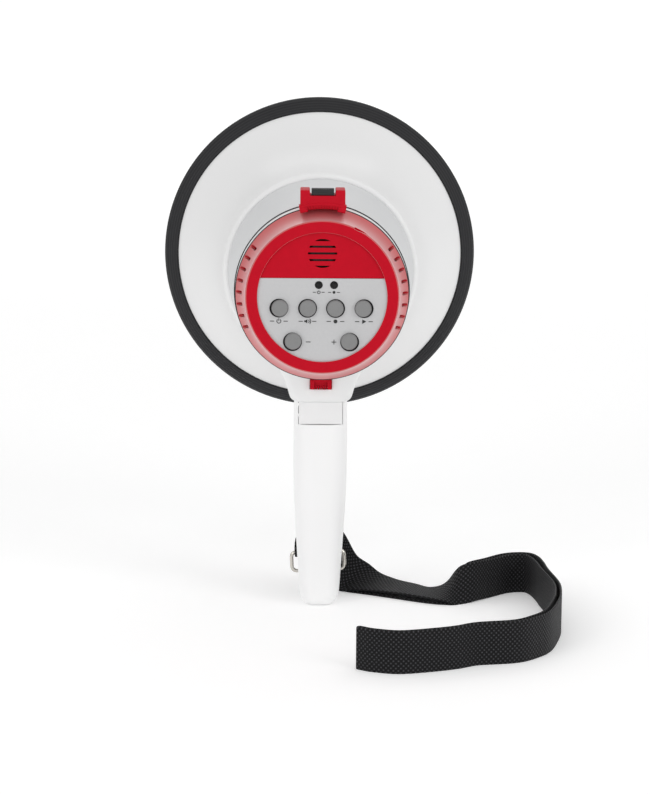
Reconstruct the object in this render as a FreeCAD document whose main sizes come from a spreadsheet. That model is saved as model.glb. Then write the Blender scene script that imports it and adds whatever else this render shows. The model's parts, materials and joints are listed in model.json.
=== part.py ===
"""Handheld megaphone, millimetres.

+X is to the right seen from behind, +Y points out of the horn's mouth, +Z is up.  The origin is the
centre of the handle's foot.  The horn's axis runs along Y at the height axis_height.
"""
import FreeCAD, Part
import math
import os
import re
import Sketcher

from FreeCAD import Placement, Rotation, Vector

DIMENSIONS = {
    # horn and body, radii about the horn's axis and places along it
    "axis_height": 202.0,
    "wall": 2.0,
    "rim_radius": 103.0,
    "rim_inner": 93.8,
    "rim_back": 146.4,
    "mouth": 161.0,
    "bell_edge_radius": 100.0,
    "bell_edge": 153.0,
    "flare_radius": 127.0,
    "bell_collar_radius": 61.7,
    "bell_back": 50.4,
    "flare_start": 62.0,
    "spigot_radius": 57.0,
    "body_front_radius": 58.6,
    "body_front": 50.0,
    "body_rear_radius": 52.1,
    "body_rear": -44.7,
    "seam_width": 0.9,
    "collar_rear": -57.0,
    "cap_seam": -58.0,
    "cap_back": -75.0,
    "face_radius": 44.4,
    "face_inner": 38.3,
    "cap_side_radius": 31.0,
    "skirt_radius": 49.7,
    # sound parts inside the horn
    "bulkhead": 62.8,
    "throat_radius": 12.0,
    "throat_front": 98.0,
    "bowl_radius": 38.0,
    "bowl_back": 72.0,
    "bowl_front": 118.0,
    "bowl_nose": 4.0,
    "fin_reach": 55.0,
    "magnet_radius": 32.0,
    "driver_back": 20.0,
    "driver_face": 50.3,
    # batteries
    "cell_radius": 13.1,
    "cell_length": 50.0,
    "cell_offset": 14.5,
    "cell_rear": -45.0,
    # control face
    "panel_front": -73.8,
    "panel_thick": 1.2,
    "panel_radius": 41.6,
    "panel_top": 11.2,
    "button_radius": 4.9,
    "button_hole": 5.6,
    "button_flange": 6.3,
    "button_proud": 2.8,
    "upper_row": -6.6,
    "lower_row": -26.6,
    "light_row": 7.3,
    "light_radius": 2.2,
    "grille_height": 26.0,
    "grille_radius": 7.9,
    "grille_pitch": 3.95,
    "grille_slot": 1.3,
    "board_rear": -65.6,
    "board_thick": 1.6,
    "board_radius": 37.0,
    "post_circle": 34.8,
    "vent_length": 7.5,
    "vent_width": 2.0,
    # top latch
    "latch_width": 26.6,
    "latch_top": 61.0,
    "latch_rear": -66.0,
    "latch_front": -45.5,
    "notch_width": 15.5,
    "notch_depth": 4.0,
    "slider_width": 12.4,
    # neck and fold joint
    "pivot_height": 122.0,
    "neck_bottom": 130.0,
    "neck_half": 23.2,
    "neck_depth": 24.0,
    "neck_screw_across": 12.0,
    "neck_screw_along": 14.0,
    "neck_screw_radius": 2.0,
    "tongue_half": 13.4,
    "tongue_rear": -19.3,
    "barrel_radius": 6.0,
    "pin_radius": 2.5,
    "pin_play": 0.05,
    "slot_floor": 115.8,
    "lock_half": 6.5,
    "lock_bottom": 138.8,
    "lock_top": 145.0,
    "lock_travel": 2.5,
    # handle
    "cheek_radius": 7.6,
    "fold_angle": 65.0,
    "skin": 2.2,
    "seam_plane": 4.0,
    # trigger
    "trigger_height": 90.0,
    "trigger_depth": 12.5,
    "trigger_half": 8.0,
    "trigger_end": 57.0,
    # carrying ring and strap
    "wire_radius": 1.2,
    "ring_left": -20.3,
    "ring_right": 15.1,
    "ring_low": 14.5,
    "ring_high": 29.0,
    "ring_depth": 20.5,
    "strap_width": 25.0,
    "strap_thick": 3.4,
}
# half width, half depth and height of each section of the handle, from its foot to its top
HANDLE_SECTIONS = [
    (8.0, 10.6, 0.0),
    (10.8, 13.6, 1.6),
    (12.0, 14.8, 5.0),
    (13.5, 15.5, 26.0),
    (15.0, 17.0, 51.0),
    (16.2, 18.6, 75.0),
    (16.5, 19.6, 100.0),
    (16.3, 20.0, 130.0),
]
BUTTONS = {
    "power_button": (-25.5, "upper_row"),
    "siren_button": (-8.6, "upper_row"),
    "record_button": (7.9, "upper_row"),
    "play_button": (24.7, "upper_row"),
    "volume_down_button": (-17.4, "lower_row"),
    "volume_up_button": (16.4, "lower_row"),
}
LIGHTS = [-2.1, 6.9]
POST_ANGLES = [2.0, 178.0, 215.0, 325.0]
VENT_ANGLES = {"right": (31.0, -8.1), "left": (149.0, 8.1)}
VENTS = 8
# places on the floor that the strap's middle passes, from the ring to its folded end
BACK_RUN = [(15, 33), (24, 27), (36, 20), (52, 11), (68, 2), (80, -5), (93, 0), (106, 14), (119, 27),
            (130, 30), (137, 21)]
FRONT_RUN = [
    (138.8, 15),
    (140, -12),
    (142, -48),
    (141, -73),
    (138, -92),
    (132, -118),
    (123, -133),
    (111, -144),
    (90, -150),
    (65, -164),
    (45, -169),
    (22, -161),
]

TO_REAR = Rotation(Vector(1, 0, 0), 90)
TO_FRONT = Rotation(Vector(1, 0, 0), -90)
TO_RIGHT = Rotation(Vector(0, 1, 0), 90)

doc = FreeCAD.newDocument("megaphone")
sheet = doc.addObject("Spreadsheet::Sheet", "dims")
subparts = []


def fill_sheet():
    """One row of the sheet for each driving dimension, with its name and its alias."""
    for row, (alias, number) in enumerate(DIMENSIONS.items(), start=1):
        sheet.set(f"A{row}", alias)
        sheet.set(f"B{row}", str(number))
        sheet.setAlias(f"B{row}", alias)
    doc.recompute()


def cells(text):
    """The expression with each dimension's name pointing at its cell."""
    return re.sub(r"[a-z_]{3,}", lambda word: f"dims.{word[0]}" if word[0] in DIMENSIONS else word[0],
                  str(text))


def number(text):
    return float(sheet.evalExpression(cells(text)))


def bind(thing, **sizes):
    for name, text in sizes.items():
        thing.setExpression(name, cells(text))
    return thing


def place(thing, at, turn=None):
    """Sets the turn and binds the three coordinates."""
    if turn:
        thing.Placement = Placement(Vector(), turn)
    for axis, text in zip("xyz", at):
        thing.setExpression(f"Placement.Base.{axis}", cells(text))
    return thing


def keep(label, thing):
    """Takes a finished object as the sub-part called label."""
    thing.Label = label
    subparts.append(thing)
    return thing


# ---- primitives and booleans ----


def solid(kind, name, at, turn=None, **sizes):
    return bind(place(doc.addObject(f"Part::{kind}", name), at, turn), **sizes)


def rod(name, radius, length, at, turn=None):
    return solid("Cylinder", name, at, turn, Radius=radius, Height=length)


def on_axis(across="0", along="0", up="0"):
    """A place given from the horn's axis."""
    return (across, along, f"axis_height + {up}")


def slab(name, low, high):
    """A box from its low corner to its high corner."""
    sizes = [f"({top}) - ({bottom})" for bottom, top in zip(low, high)]
    return solid("Box", name, low, Length=sizes[0], Width=sizes[1], Height=sizes[2])


def join(name, *pieces):
    fused = doc.addObject("Part::MultiFuse", name)
    fused.Shapes = list(pieces)
    return fused


def group(name, *pieces):
    compound = doc.addObject("Part::Compound", name)
    compound.Links = list(pieces)
    return compound


def cut(name, base, *tools):
    result = doc.addObject("Part::Cut", name)
    result.Base = base
    result.Tool = tools[0] if len(tools) == 1 else join(f"{name}_tools", *tools)
    return result


def common(name, first, second):
    result = doc.addObject("Part::Common", name)
    result.Base = first
    result.Tool = second
    return result


def tube(name, outer, inner, length, at, turn=None):
    hole = rod(f"{name}_hole", inner, length, at, turn)
    return cut(name, rod(f"{name}_outside", outer, length, at, turn), hole)


# ---- sketched bodies ----


def new_body(name):
    return doc.addObject("PartDesign::Body", name)


def new_sketch(body, name, role, height=None):
    """A sketch on one of the body's own origin planes, or at a height above it."""
    sketch = body.newObject("Sketcher::SketchObject", name)
    plane = [item for item in body.Origin.OriginFeatures if item.Role == role][0]
    sketch.AttachmentSupport = (plane, [""])
    sketch.MapMode = "FlatFace"
    if height is not None:
        sketch.setExpression("AttachmentOffset.Base.z", cells(height))
    return sketch


def fix(sketch, edge, point, corner):
    """Ties one end of an edge to its two coordinates."""
    for kind, text, axis in (("DistanceX", corner[0], -2), ("DistanceY", corner[1], -1)):
        if str(text) == "0":
            sketch.addConstraint(Sketcher.Constraint("PointOnObject", edge, point, axis))
            continue
        rule = sketch.addConstraint(Sketcher.Constraint(kind, edge, point, number(text)))
        sketch.setExpression(f"Constraints[{rule}]", cells(text))


def arc_through(start, end, radius):
    """The short arc between two points; a positive radius bulges to the right of the way."""
    way = end - start
    half = way.Length / 2
    side = Vector(way.y, -way.x, 0).normalize()
    depth = abs(radius) - math.sqrt(radius * radius - half * half)
    middle = (start + end) / 2 + side * math.copysign(depth, radius)
    return Part.Arc(start, middle, end)


def outline(sketch, corners):
    """A closed outline; a corner is (across, up), with a third value where an arc leads to the next."""
    spots = [Vector(number(corner[0]), number(corner[1]), 0) for corner in corners]
    ends = []
    for index, corner in enumerate(corners):
        start, end = spots[index], spots[(index + 1) % len(spots)]
        if len(corner) == 2:
            ends.append((sketch.addGeometry(Part.LineSegment(start, end)), 1, 2))
            continue
        radius = number(corner[2])
        edge = sketch.addGeometry(arc_through(start, end, radius))
        forwards = (sketch.getPoint(edge, 1) - start).Length < 1e-6
        ends.append((edge, 1, 2) if forwards else (edge, 2, 1))
        rule = sketch.addConstraint(Sketcher.Constraint("Radius", edge, abs(radius)))
        sketch.setExpression(f"Constraints[{rule}]", cells(f"abs({corner[2]})"))
    for before, after in zip([ends[-1]] + ends[:-1], ends):
        sketch.addConstraint(Sketcher.Constraint("Coincident", before[0], before[2], after[0], after[1]))
    for edge, corner in zip(ends, corners):
        fix(sketch, edge[0], edge[1], corner)
    return sketch


def circles(sketch, rounds):
    """Circles, each given as (across, up, radius)."""
    for across, up, radius in rounds:
        spot = Vector(number(across), number(up), 0)
        edge = sketch.addGeometry(Part.Circle(spot, Vector(0, 0, 1), number(radius)))
        rule = sketch.addConstraint(Sketcher.Constraint("Radius", edge, number(radius)))
        sketch.setExpression(f"Constraints[{rule}]", cells(radius))
        fix(sketch, edge, 3, (across, up))
    return sketch


def rounded_rectangle(sketch, half_width, half_depth, corner, centre=("0", "0")):
    """A rectangle whose corners are quarter circles."""
    wide, deep, radius = (f"({text})" for text in (half_width, half_depth, corner))
    corners = []
    for right, up, first in ((1, 1, 0), (-1, 1, 1), (-1, -1, 0), (1, -1, 1)):
        level = (f"{centre[0]} + {right} * {wide}", f"{centre[1]} + {up} * ({deep} - {radius})")
        upright = (f"{centre[0]} + {right} * ({wide} - {radius})", f"{centre[1]} + {up} * {deep}")
        leaving, arriving = (level, upright) if first == 0 else (upright, level)
        corners.append((*leaving, radius))
        corners.append(arriving)
    return outline(sketch, corners)


def turned(name, corners):
    """A body of revolution about the horn's axis; its outline gives radius and place along the axis."""
    body = new_body(name)
    bind(body, **{"Placement.Base.z": "axis_height"})
    sketch = outline(new_sketch(body, f"{name}_profile", "XY_Plane"), corners)
    doc.recompute()
    turn = body.newObject("PartDesign::Revolution", f"{name}_turn")
    turn.Profile = sketch
    turn.ReferenceAxis = (sketch, ["V_Axis"])
    turn.Angle = 360
    return body


def extruded(name, role, corners, length, height=None, holes=()):
    """A body padded to both sides of an outline on an origin plane, with any round holes."""
    body = new_body(name)
    sketch = circles(outline(new_sketch(body, f"{name}_profile", role, height), corners), holes)
    doc.recompute()
    pad = body.newObject("PartDesign::Pad", f"{name}_pad")
    pad.Profile = sketch
    pad.SideType = "Symmetric"
    bind(pad, Length=length)
    return body


# ---- horn and body ----


def make_bell():
    bell = turned("bell_body", [
        ("bell_collar_radius - 2.4", "bell_back"),
        ("bell_collar_radius", "bell_back + 2.2"),
        ("bell_collar_radius", "flare_start", "-flare_radius"),
        ("bell_edge_radius", "bell_edge"),
        ("bell_edge_radius - 1.4", "bell_edge + 1.5", "flare_radius + wall"),
        ("bell_collar_radius - wall", "flare_start + 0.6"),
        ("spigot_radius + 0.1", "flare_start - 1.6"),
        ("spigot_radius + 0.1", "bell_back"),
    ])
    keep("bell", bell)
    rim = turned("rim_blank", [
        ("rim_inner", "rim_back"),
        ("rim_radius - 2.6", "rim_back + 2.8", "3.4"),
        ("rim_radius", "rim_back + 6"),
        ("rim_radius", "mouth - 3", "3.2"),
        ("rim_radius - 3", "mouth"),
        ("rim_inner + 1.6", "mouth"),
        ("rim_inner", "mouth - 1.6"),
    ])
    keep("rim_bumper", cut("rim_cut", rim, bell))


def neck_screw_places():
    return [(f"{right} * neck_screw_across", f"{front} * neck_screw_along") for right in (1,
                                                                                          -1) for front in (1, -1)]


def make_body():
    shell = turned("mid_body_shell", [
        ("body_rear_radius", "body_rear"),
        ("body_front_radius", "body_front"),
        ("spigot_radius", "body_front + 0.2"),
        ("spigot_radius", "flare_start - 2.4"),
        ("spigot_radius - wall", "flare_start - 2.4"),
        ("spigot_radius - wall", "body_front - 2"),
        ("body_rear_radius - wall - 0.2", "body_rear"),
    ])
    holes = [rod(f"body_screw_hole_{index}", "neck_screw_radius", "20", (across, along, "neck_bottom + 10"))
             for index, (across, along) in enumerate(neck_screw_places())]
    keep("mid_body", cut("mid_body_cut", shell, *holes))
    keep("body_seal", tube("body_seal_ring", "body_rear_radius - 0.8", "body_rear_radius - 3", "seam_width",
                           on_axis(along="body_rear - seam_width"), TO_FRONT))
    keep("collar_ring", turned("collar_body", [
        ("body_rear_radius", "body_rear - seam_width"),
        ("body_rear_radius - wall - 0.1", "body_rear - seam_width"),
        ("body_rear_radius - wall - 0.1", "collar_rear"),
        ("body_rear_radius", "collar_rear"),
    ]))


def make_horn_parts():
    keep("horn_bulkhead", turned("bulkhead_body", [
        ("throat_radius + wall + 0.1", "bulkhead"),
        ("bell_collar_radius - 2.6", "bulkhead"),
        ("bell_collar_radius - 2.6", "bulkhead + wall"),
        ("throat_radius + wall + 0.1", "bulkhead + wall"),
    ]))
    keep("throat_tube", turned("throat_body", [
        ("throat_radius", "driver_face + wall"),
        ("throat_radius * 2", "driver_face + wall"),
        ("throat_radius * 2", "driver_face + wall * 2"),
        ("throat_radius + wall", "driver_face + wall * 2"),
        ("throat_radius + wall", "throat_front"),
        ("throat_radius", "throat_front"),
    ]))
    bowl = turned("bowl_shell", [
        ("0", "bowl_front - wall"),
        ("bowl_nose", "bowl_front - wall", "-38"),
        ("bowl_radius - 5 - wall", "bowl_front - 18"),
        ("bowl_radius - wall", "bowl_back"),
        ("bowl_radius", "bowl_back"),
        ("bowl_radius - 5", "bowl_front - 17", "40"),
        ("bowl_nose", "bowl_front"),
        ("0", "bowl_front"),
    ])
    fins = []
    for index in range(3):
        fin = slab(f"bowl_fin_{index}", ("bowl_radius - 1", "bulkhead + wall", "-1.5"),
                   ("fin_reach", "bowl_back + 12", "1.5"))
        turn = Rotation(Vector(0, 1, 0), 90 + 120 * index)
        holder = doc.addObject("Part::Compound", f"fin_turn_{index}")
        holder.Links = [fin]
        fins.append(place(holder, on_axis(), turn))
    keep("reflector_bowl", join("bowl_and_fins", bowl, *fins))


def make_driver():
    face = "driver_face"
    back = "driver_back"
    keep("driver_back_plate", join(
        "back_plate_and_pole",
        rod("back_plate", "magnet_radius - 2", "4", on_axis(along=back), TO_FRONT),
        rod("pole_piece", "11", "19", on_axis(along=back), TO_FRONT)))
    keep("driver_magnet", tube("magnet_ring", "magnet_radius", "14", "12", on_axis(along=f"{back} + 4"),
                               TO_FRONT))
    keep("driver_front_plate", tube("front_plate_ring", "magnet_radius - 2", "12.2", "4",
                                    on_axis(along=f"{back} + 16"), TO_FRONT))
    housing = turned("driver_housing_body", [
        ("throat_radius + 6", f"{face} + wall"),
        ("throat_radius + 6", f"{face}"),
        ("magnet_radius - 1", f"{face}"),
        ("magnet_radius - 1", f"{back} + 20"),
        ("magnet_radius + 2", f"{back} + 20"),
        ("magnet_radius + 2", f"{face} - 1"),
        ("magnet_radius + 14", f"{face} - 1"),
        ("magnet_radius + 14", f"{face} + wall"),
    ])
    keep("driver_diaphragm", turned("diaphragm_body", [
        ("0", f"{face} - 2.6"),
        ("3", f"{face} - 2.6", "-94"),
        ("magnet_radius - 2", f"{face} - 7.6"),
        ("magnet_radius - 2", f"{face} - 7", "94"),
        ("3", f"{face} - 2"),
        ("0", f"{face} - 2"),
    ]))
    keep("voice_coil", tube("voice_coil_tube", "12", "11.3", "7", on_axis(along=f"{back} + 16.5"),
                            TO_FRONT))
    screws = []
    holes = []
    for angle in (45, 135, 225, 315):
        index = angle // 90
        across = f"(magnet_radius + 9) * cos({angle})"
        up = f"(magnet_radius + 9) * sin({angle})"
        holes.append(rod(f"driver_screw_hole_{index}", "1.6", "6", on_axis(across, f"{face} - 2", up),
                         TO_FRONT))
        head = rod(f"driver_screw_head_{index}", "3", "2.4", on_axis(across, f"{face} - 3.4", up), TO_FRONT)
        shank = rod(f"driver_screw_{index}", "1.5", "12", on_axis(across, f"{face} - 3.4", up), TO_FRONT)
        screws.append(join(f"driver_screw_whole_{index}", head, shank))
    keep("driver_screws", group("driver_screw_set", *screws))
    keep("driver_housing", cut("driver_housing_cut", housing, *holes))


def make_batteries():
    rear = "cell_rear - 3.4"
    front = "cell_rear + cell_length + 1.6"
    reach = "cell_offset * 2 + cell_radius - 1"
    plates = [rod("holder_rear_plate", "44", "2", on_axis(along=rear), TO_FRONT),
              rod("holder_front_plate", "44", "2", on_axis(along=front), TO_FRONT)]
    length = f"({front}) - ({rear})"
    for name, wide, high in (("flat", reach, "1"), ("upright", "1", reach)):
        plates.append(solid("Box", f"holder_{name}_wall", (f"-({wide})", rear, f"axis_height - ({high})"),
                            Length=f"2 * ({wide})", Width=length, Height=f"2 * ({high})"))
    keep("battery_holder", join("battery_holder_frame", *plates))
    contacts = []
    springs = []
    corners = [(1, 1), (-1, 1), (-1, -1), (1, -1)]
    for index, (right, up) in enumerate(corners, start=1):
        spot = (f"{right} * cell_offset", f"{up} * cell_offset")
        case = rod(f"cell_case_{index}", "cell_radius", "cell_length - 1.5",
                   on_axis(spot[0], "cell_rear", spot[1]), TO_FRONT)
        nib = rod(f"cell_nib_{index}", "3.2", "cell_length", on_axis(spot[0], "cell_rear", spot[1]),
                  TO_FRONT)
        keep(f"battery_{index}", join(f"cell_{index}", case, nib))
        contacts.append(rod(f"contact_{index}", "6", "0.6",
                            on_axis(spot[0], "cell_rear + cell_length + 0.6", spot[1]), TO_FRONT))
        springs.append(solid("Cone", f"contact_spring_{index}",
                             on_axis(spot[0], "cell_rear - 1.3", spot[1]), TO_FRONT,
                             Radius1="6", Radius2="3.5", Height="1.2"))
    keep("battery_contacts", group("contact_set", *contacts))
    keep("battery_springs", group("contact_spring_set", *springs))


# ---- rear cap and its controls ----


def make_cap():
    """The red cap: a curved side wall, a flat ring round the face, and vent slots."""
    shell = turned("cap_shell", [
        ("body_rear_radius", "cap_seam", "-cap_side_radius"),
        ("face_radius + 0.3", "cap_back + 0.6"),
        ("face_radius - 0.4", "cap_back"),
        ("face_inner + 0.3", "cap_back"),
        ("face_inner", "cap_back + 0.3"),
        ("face_inner", "cap_back + 1.1"),
        ("face_radius - wall", "cap_back + 1.1", "cap_side_radius"),
        ("skirt_radius - 1.5", "cap_seam"),
        ("skirt_radius - 1.5", "cap_seam + 8"),
        ("skirt_radius", "cap_seam + 8"),
        ("skirt_radius", "cap_seam"),
    ])
    keep("rear_cap", cut("cap_with_vents", shell, *vent_slots()))
    keep("cap_seal", tube("cap_seal_ring", "body_rear_radius - 0.9", "body_rear_radius - 1.9", "0.7",
                          on_axis(along="collar_rear - 0.7"), TO_FRONT))


def vent_slots():
    slots = []
    for side, (first, pitch) in VENT_ANGLES.items():
        for index in range(VENTS):
            angle = first + pitch * index
            slot = slab(f"vent_{side}_{index}",
                        ("body_rear_radius - 8", "cap_seam - 1.4 - vent_length", "-vent_width / 2"),
                        ("body_rear_radius + 2", "cap_seam - 1.4", "vent_width / 2"))
            holder = doc.addObject("Part::Compound", f"vent_turn_{side}_{index}")
            holder.Links = [slot]
            slots.append(place(holder, on_axis(), Rotation(Vector(0, -1, 0), angle)))
    return slots



def make_panel():
    """The silver panel below, and the red cover over the microphone above."""
    back = "panel_front + panel_thick"
    disc = rod("panel_disc", "panel_radius", "panel_thick", on_axis(along=back), TO_REAR)
    above = slab("panel_above", ("-60", "cap_back - 5", "axis_height + panel_top"),
                 ("60", "cap_back + 12", "axis_height + 60"))
    holes = [rod(f"{name}_hole", "button_hole", "6", on_axis(across, "panel_front + 4", row), TO_REAR)
             for name, (across, row) in BUTTONS.items()]
    holes += [rod(f"light_hole_{index}", "light_radius + 0.1", "6",
                  on_axis(across, "panel_front + 4", "light_row"),
                  TO_REAR) for index, across in enumerate(LIGHTS)]
    plate = cut("panel_plate", disc, above, *holes)
    posts = []
    for index, angle in enumerate(POST_ANGLES):
        across = f"post_circle * cos({angle})"
        up = f"post_circle * sin({angle})"
        post = rod(f"panel_post_{index}", "3", f"board_rear - ({back})", on_axis(across, back, up),
                   TO_FRONT)
        bore = rod(f"panel_post_bore_{index}", "1", "4.5", on_axis(across, "board_rear - 4.5", up),
                   TO_FRONT)
        posts.append(cut(f"panel_post_whole_{index}", post, bore))
    keep("control_panel", join("panel_and_posts", plate, *posts))
    blank = rod("cover_disc", "panel_radius", "panel_thick", on_axis(along=back), TO_REAR)
    below = slab("cover_below", ("-60", "cap_back - 5", "axis_height - 60"),
                 ("60", "cap_back + 12", "axis_height + panel_top + 0.2"))
    window = rod("grille_window", "grille_radius + 0.7", "6",
                 on_axis("0", "panel_front + 4", "grille_height"), TO_REAR)
    bars = [slab(f"grille_bar_{index}",
                 ("-20", "panel_front - 3",
                  f"axis_height + grille_height + {index} * grille_pitch - grille_slot / 2"),
                 ("20", "panel_front + 5",
                  f"axis_height + grille_height + {index} * grille_pitch + grille_slot / 2"))
            for index in range(-2, 3)]
    slots = common("grille_slots", window, group("grille_bars", *bars))
    keep("microphone_cover", cut("cover_plate", blank, below, slots))


def make_buttons():
    back = "panel_front + panel_thick + 0.1"
    for name, (across, row) in BUTTONS.items():
        cap = rod(f"{name}_cap", "button_radius", f"{back} - panel_front + button_proud",
                  on_axis(across, back, row), TO_REAR)
        flange = rod(f"{name}_flange", "button_flange", "1.1", on_axis(across, back, row), TO_FRONT)
        keep(name, join(f"{name}_whole", cap, flange))


def make_electronics():
    board_front = "board_rear + board_thick"
    board = rod("board_disc", "board_radius", "board_thick", on_axis(along="board_rear"), TO_FRONT)
    holes = []
    screws = []
    for index, angle in enumerate(POST_ANGLES):
        spot = (f"post_circle * cos({angle})", f"post_circle * sin({angle})")
        holes.append(rod(f"board_hole_{index}", "1.2", "6", on_axis(spot[0], "board_rear - 2", spot[1]),
                         TO_FRONT))
        shank = rod(f"board_shank_{index}", "0.95", "6", on_axis(spot[0], board_front, spot[1]), TO_REAR)
        head = rod(f"board_head_{index}", "2.1", "1.5", on_axis(spot[0], board_front, spot[1]), TO_FRONT)
        screws.append(join(f"board_screw_{index}", shank, head))
    keep("circuit_board", cut("board_with_holes", board, *holes))
    keep("board_screws", group("board_screw_set", *screws))
    switches = []
    for name, (across, row) in BUTTONS.items():
        case = solid("Box", f"{name}_switch_case", on_axis(f"{across} - 3", "board_rear - 3", f"{row} - 3"),
                     Length="6", Width="3", Height="6")
        plunger = rod(f"{name}_switch_plunger", "1.75", "1.6", on_axis(across, "board_rear - 3", row),
                      TO_REAR)
        switches.append(join(f"{name}_switch", case, plunger))
    keep("tact_switches", group("switch_set", *switches))
    keep("status_lights", group("light_set", *[
        rod(f"light_{index}", "light_radius", "board_rear - panel_front + 1",
            on_axis(across, "panel_front - 1",
                    "light_row"), TO_FRONT) for index, across in enumerate(LIGHTS)]))
    chip = solid("Box", "amplifier_chip", on_axis("-10", board_front, "-8"), Length="14", Width="2.5",
                 Height="9")
    tank = rod("large_capacitor", "5", "11", on_axis("16", board_front, "4"), TO_FRONT)
    small = rod("small_capacitor", "3", "8", on_axis("17", board_front, "-10"), TO_FRONT)
    keep("board_components", group("component_set", chip, tank, small))
    keep("microphone", rod("microphone_capsule", "4.8", "6",
                           on_axis("0", "panel_front + 1.6", "grille_height"),
                           TO_FRONT))
    keep("microphone_boot", tube("boot_ring", "7", "4.9", "5.5",
                                 on_axis("0", "panel_front + 1.4", "grille_height"), TO_FRONT))


def make_latch():
    """The block over the cap's seam, its ribbed slider and the slider's spring."""
    half = "latch_width / 2"
    block = slab("latch_block", (f"-{half}", "latch_rear", "axis_height + 44"),
                 (half, "latch_front", "axis_height + latch_top"))
    cap_blank = turned("cap_blank", [
        ("0", "cap_back + 0.6"),
        ("face_radius + 0.3", "cap_back + 0.6", "cap_side_radius"),
        ("body_rear_radius", "cap_seam"),
        ("0", "cap_seam"),
    ])
    collar_room = rod("collar_room", "body_rear_radius + 0.4", "20", on_axis(along="cap_seam"), TO_FRONT)
    notch = slab("latch_notch", ("-notch_width / 2", "latch_rear - 1",
                                 "axis_height + latch_top - notch_depth"),
                 ("notch_width / 2", "latch_front - 4.7", "axis_height + latch_top + 1"))
    spring_room = slab("latch_spring_room",
                       ("-2.2", "latch_front - 8", "axis_height + latch_top - notch_depth"),
                       ("2.2", "latch_front - 2.5", "axis_height + latch_top - 0.8"))
    keep("latch_housing", cut("latch_block_cut", block, cap_blank, collar_room, notch, spring_room))
    keep("latch_slider", slab("slider_block",
                              ("-slider_width / 2", "latch_rear + 2.5",
                               "axis_height + latch_top - notch_depth + 0.2"),
                              ("slider_width / 2", "latch_front - 7.5", "axis_height + latch_top - 0.3")))
    keep("latch_spring", tube("latch_spring_coil", "1.3", "0.8", "4.8",
                              ("0", "latch_front - 7.4", "axis_height + latch_top - 2.3"), TO_FRONT))


# ---- neck and fold joint ----


def make_neck():
    front = extruded("neck_front", "XZ_Plane", [
        ("-14.8", "neck_bottom"),
        ("14.8", "neck_bottom", "4.4"),
        ("18.3", "neck_bottom + 3.2"),
        ("neck_half - 2", "neck_bottom + 14.5"),
        ("neck_half + 2", "neck_bottom + 26"),
        ("-neck_half - 2", "neck_bottom + 26"),
        ("-neck_half + 2", "neck_bottom + 14.5"),
        ("-18.3", "neck_bottom + 3.2", "4.4"),
    ], "80")
    side = extruded("neck_side", "YZ_Plane", [
        ("-neck_depth + 4", "neck_bottom"),
        ("neck_depth - 4", "neck_bottom"),
        ("neck_depth", "neck_bottom + 10"),
        ("neck_depth + 3", "neck_bottom + 28"),
        ("-neck_depth - 3", "neck_bottom + 28"),
        ("-neck_depth", "neck_bottom + 10"),
    ], "80")
    saddle = solid("Cone", "neck_saddle", on_axis(along="body_rear"), TO_FRONT, Radius1="body_rear_radius",
                   Radius2="body_front_radius", Height="body_front - body_rear")
    block = cut("neck_block", common("neck_blank", front, side), saddle)
    rear_wall = slab("tongue_wall", ("-tongue_half", "tongue_rear", "slot_floor + 0.5"),
                     ("tongue_half", "-2", "neck_bottom + 1"))
    middle = slab("tongue_middle", ("-tongue_half", "-barrel_radius", "pivot_height"),
                  ("tongue_half", "-1.5", "neck_bottom + 1"))
    barrel = rod("tongue_barrel", "barrel_radius", "tongue_half * 2",
                 ("-tongue_half", "0", "pivot_height"), TO_RIGHT)
    bore = rod("tongue_bore", "pin_radius + pin_play", "60", ("-30", "0", "pivot_height"), TO_RIGHT)
    pocket = slab("lock_pocket", ("-lock_half - 0.3", "-40", "lock_bottom - 0.4"),
                  ("lock_half + 0.3", "-neck_depth + 6", "lock_top + lock_travel + 0.8"))
    tools = [bore, pocket]
    screws = []
    for index, (across, along) in enumerate(neck_screw_places()):
        tools.append(rod(f"neck_screw_hole_{index}", "neck_screw_radius", "30",
                         (across, along, "neck_bottom + 10")))
        shank = rod(f"neck_screw_shank_{index}", "neck_screw_radius", "12.8",
                    (across, along, "neck_bottom + 10"))
        head = rod(f"neck_screw_head_{index}", "neck_screw_radius * 1.8", "2.4",
                   (across, along, "neck_bottom + 22.8"))
        screws.append(join(f"neck_screw_{index}", shank, head))
    keep("neck", cut("neck_whole", join("neck_and_tongue", block, rear_wall, middle, barrel), *tools))
    keep("neck_screws", group("neck_screw_set", *screws))
    keep("fold_lock", slab("fold_lock_block", ("-lock_half", "-neck_depth - 1.9", "lock_bottom"),
                           ("lock_half", "-neck_depth + 5.7", "lock_top")))
    keep("fold_lock_spring", tube("fold_lock_coil", "1.6", "1.1", "lock_travel + 0.6",
                                  ("0", "-neck_depth + 3", "lock_top + 0.1")))


# ---- handle ----


def handle_loft(name, inset, first=0):
    """A loft through the handle's sections, each drawn in by inset."""
    body = new_body(name)
    sketches = []
    for index, (half_width, half_depth, height) in enumerate(HANDLE_SECTIONS[first:]):
        sketch = new_sketch(body, f"{name}_section_{index}", "XY_Plane", str(height))
        wide = f"{half_width} - {inset}"
        sketches.append(rounded_rectangle(sketch, wide, f"{half_depth} - {inset}", f"0.7 * ({wide})"))
    doc.recompute()
    loft = body.newObject("PartDesign::AdditiveLoft", f"{name}_loft")
    loft.Profile = sketches[0]
    loft.Sections = sketches[1:]
    loft.Ruled = True
    return body


def top_relief(name, radius, floor, ceiling):
    """The side outline that leaves room for the neck as it folds forwards about the pin."""
    run_out = f"pivot_height + (({radius}) - 30 * sin(fold_angle)) / cos(fold_angle)"
    return extruded(name, "YZ_Plane", [
        ("-30", floor),
        ("30", floor),
        ("30", run_out),
        (f"({radius}) * sin(fold_angle)", f"pivot_height + ({radius}) * cos(fold_angle)", radius),
        ("0", f"pivot_height + ({radius})"),
        ("-30", ceiling),
    ], "60")


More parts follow.
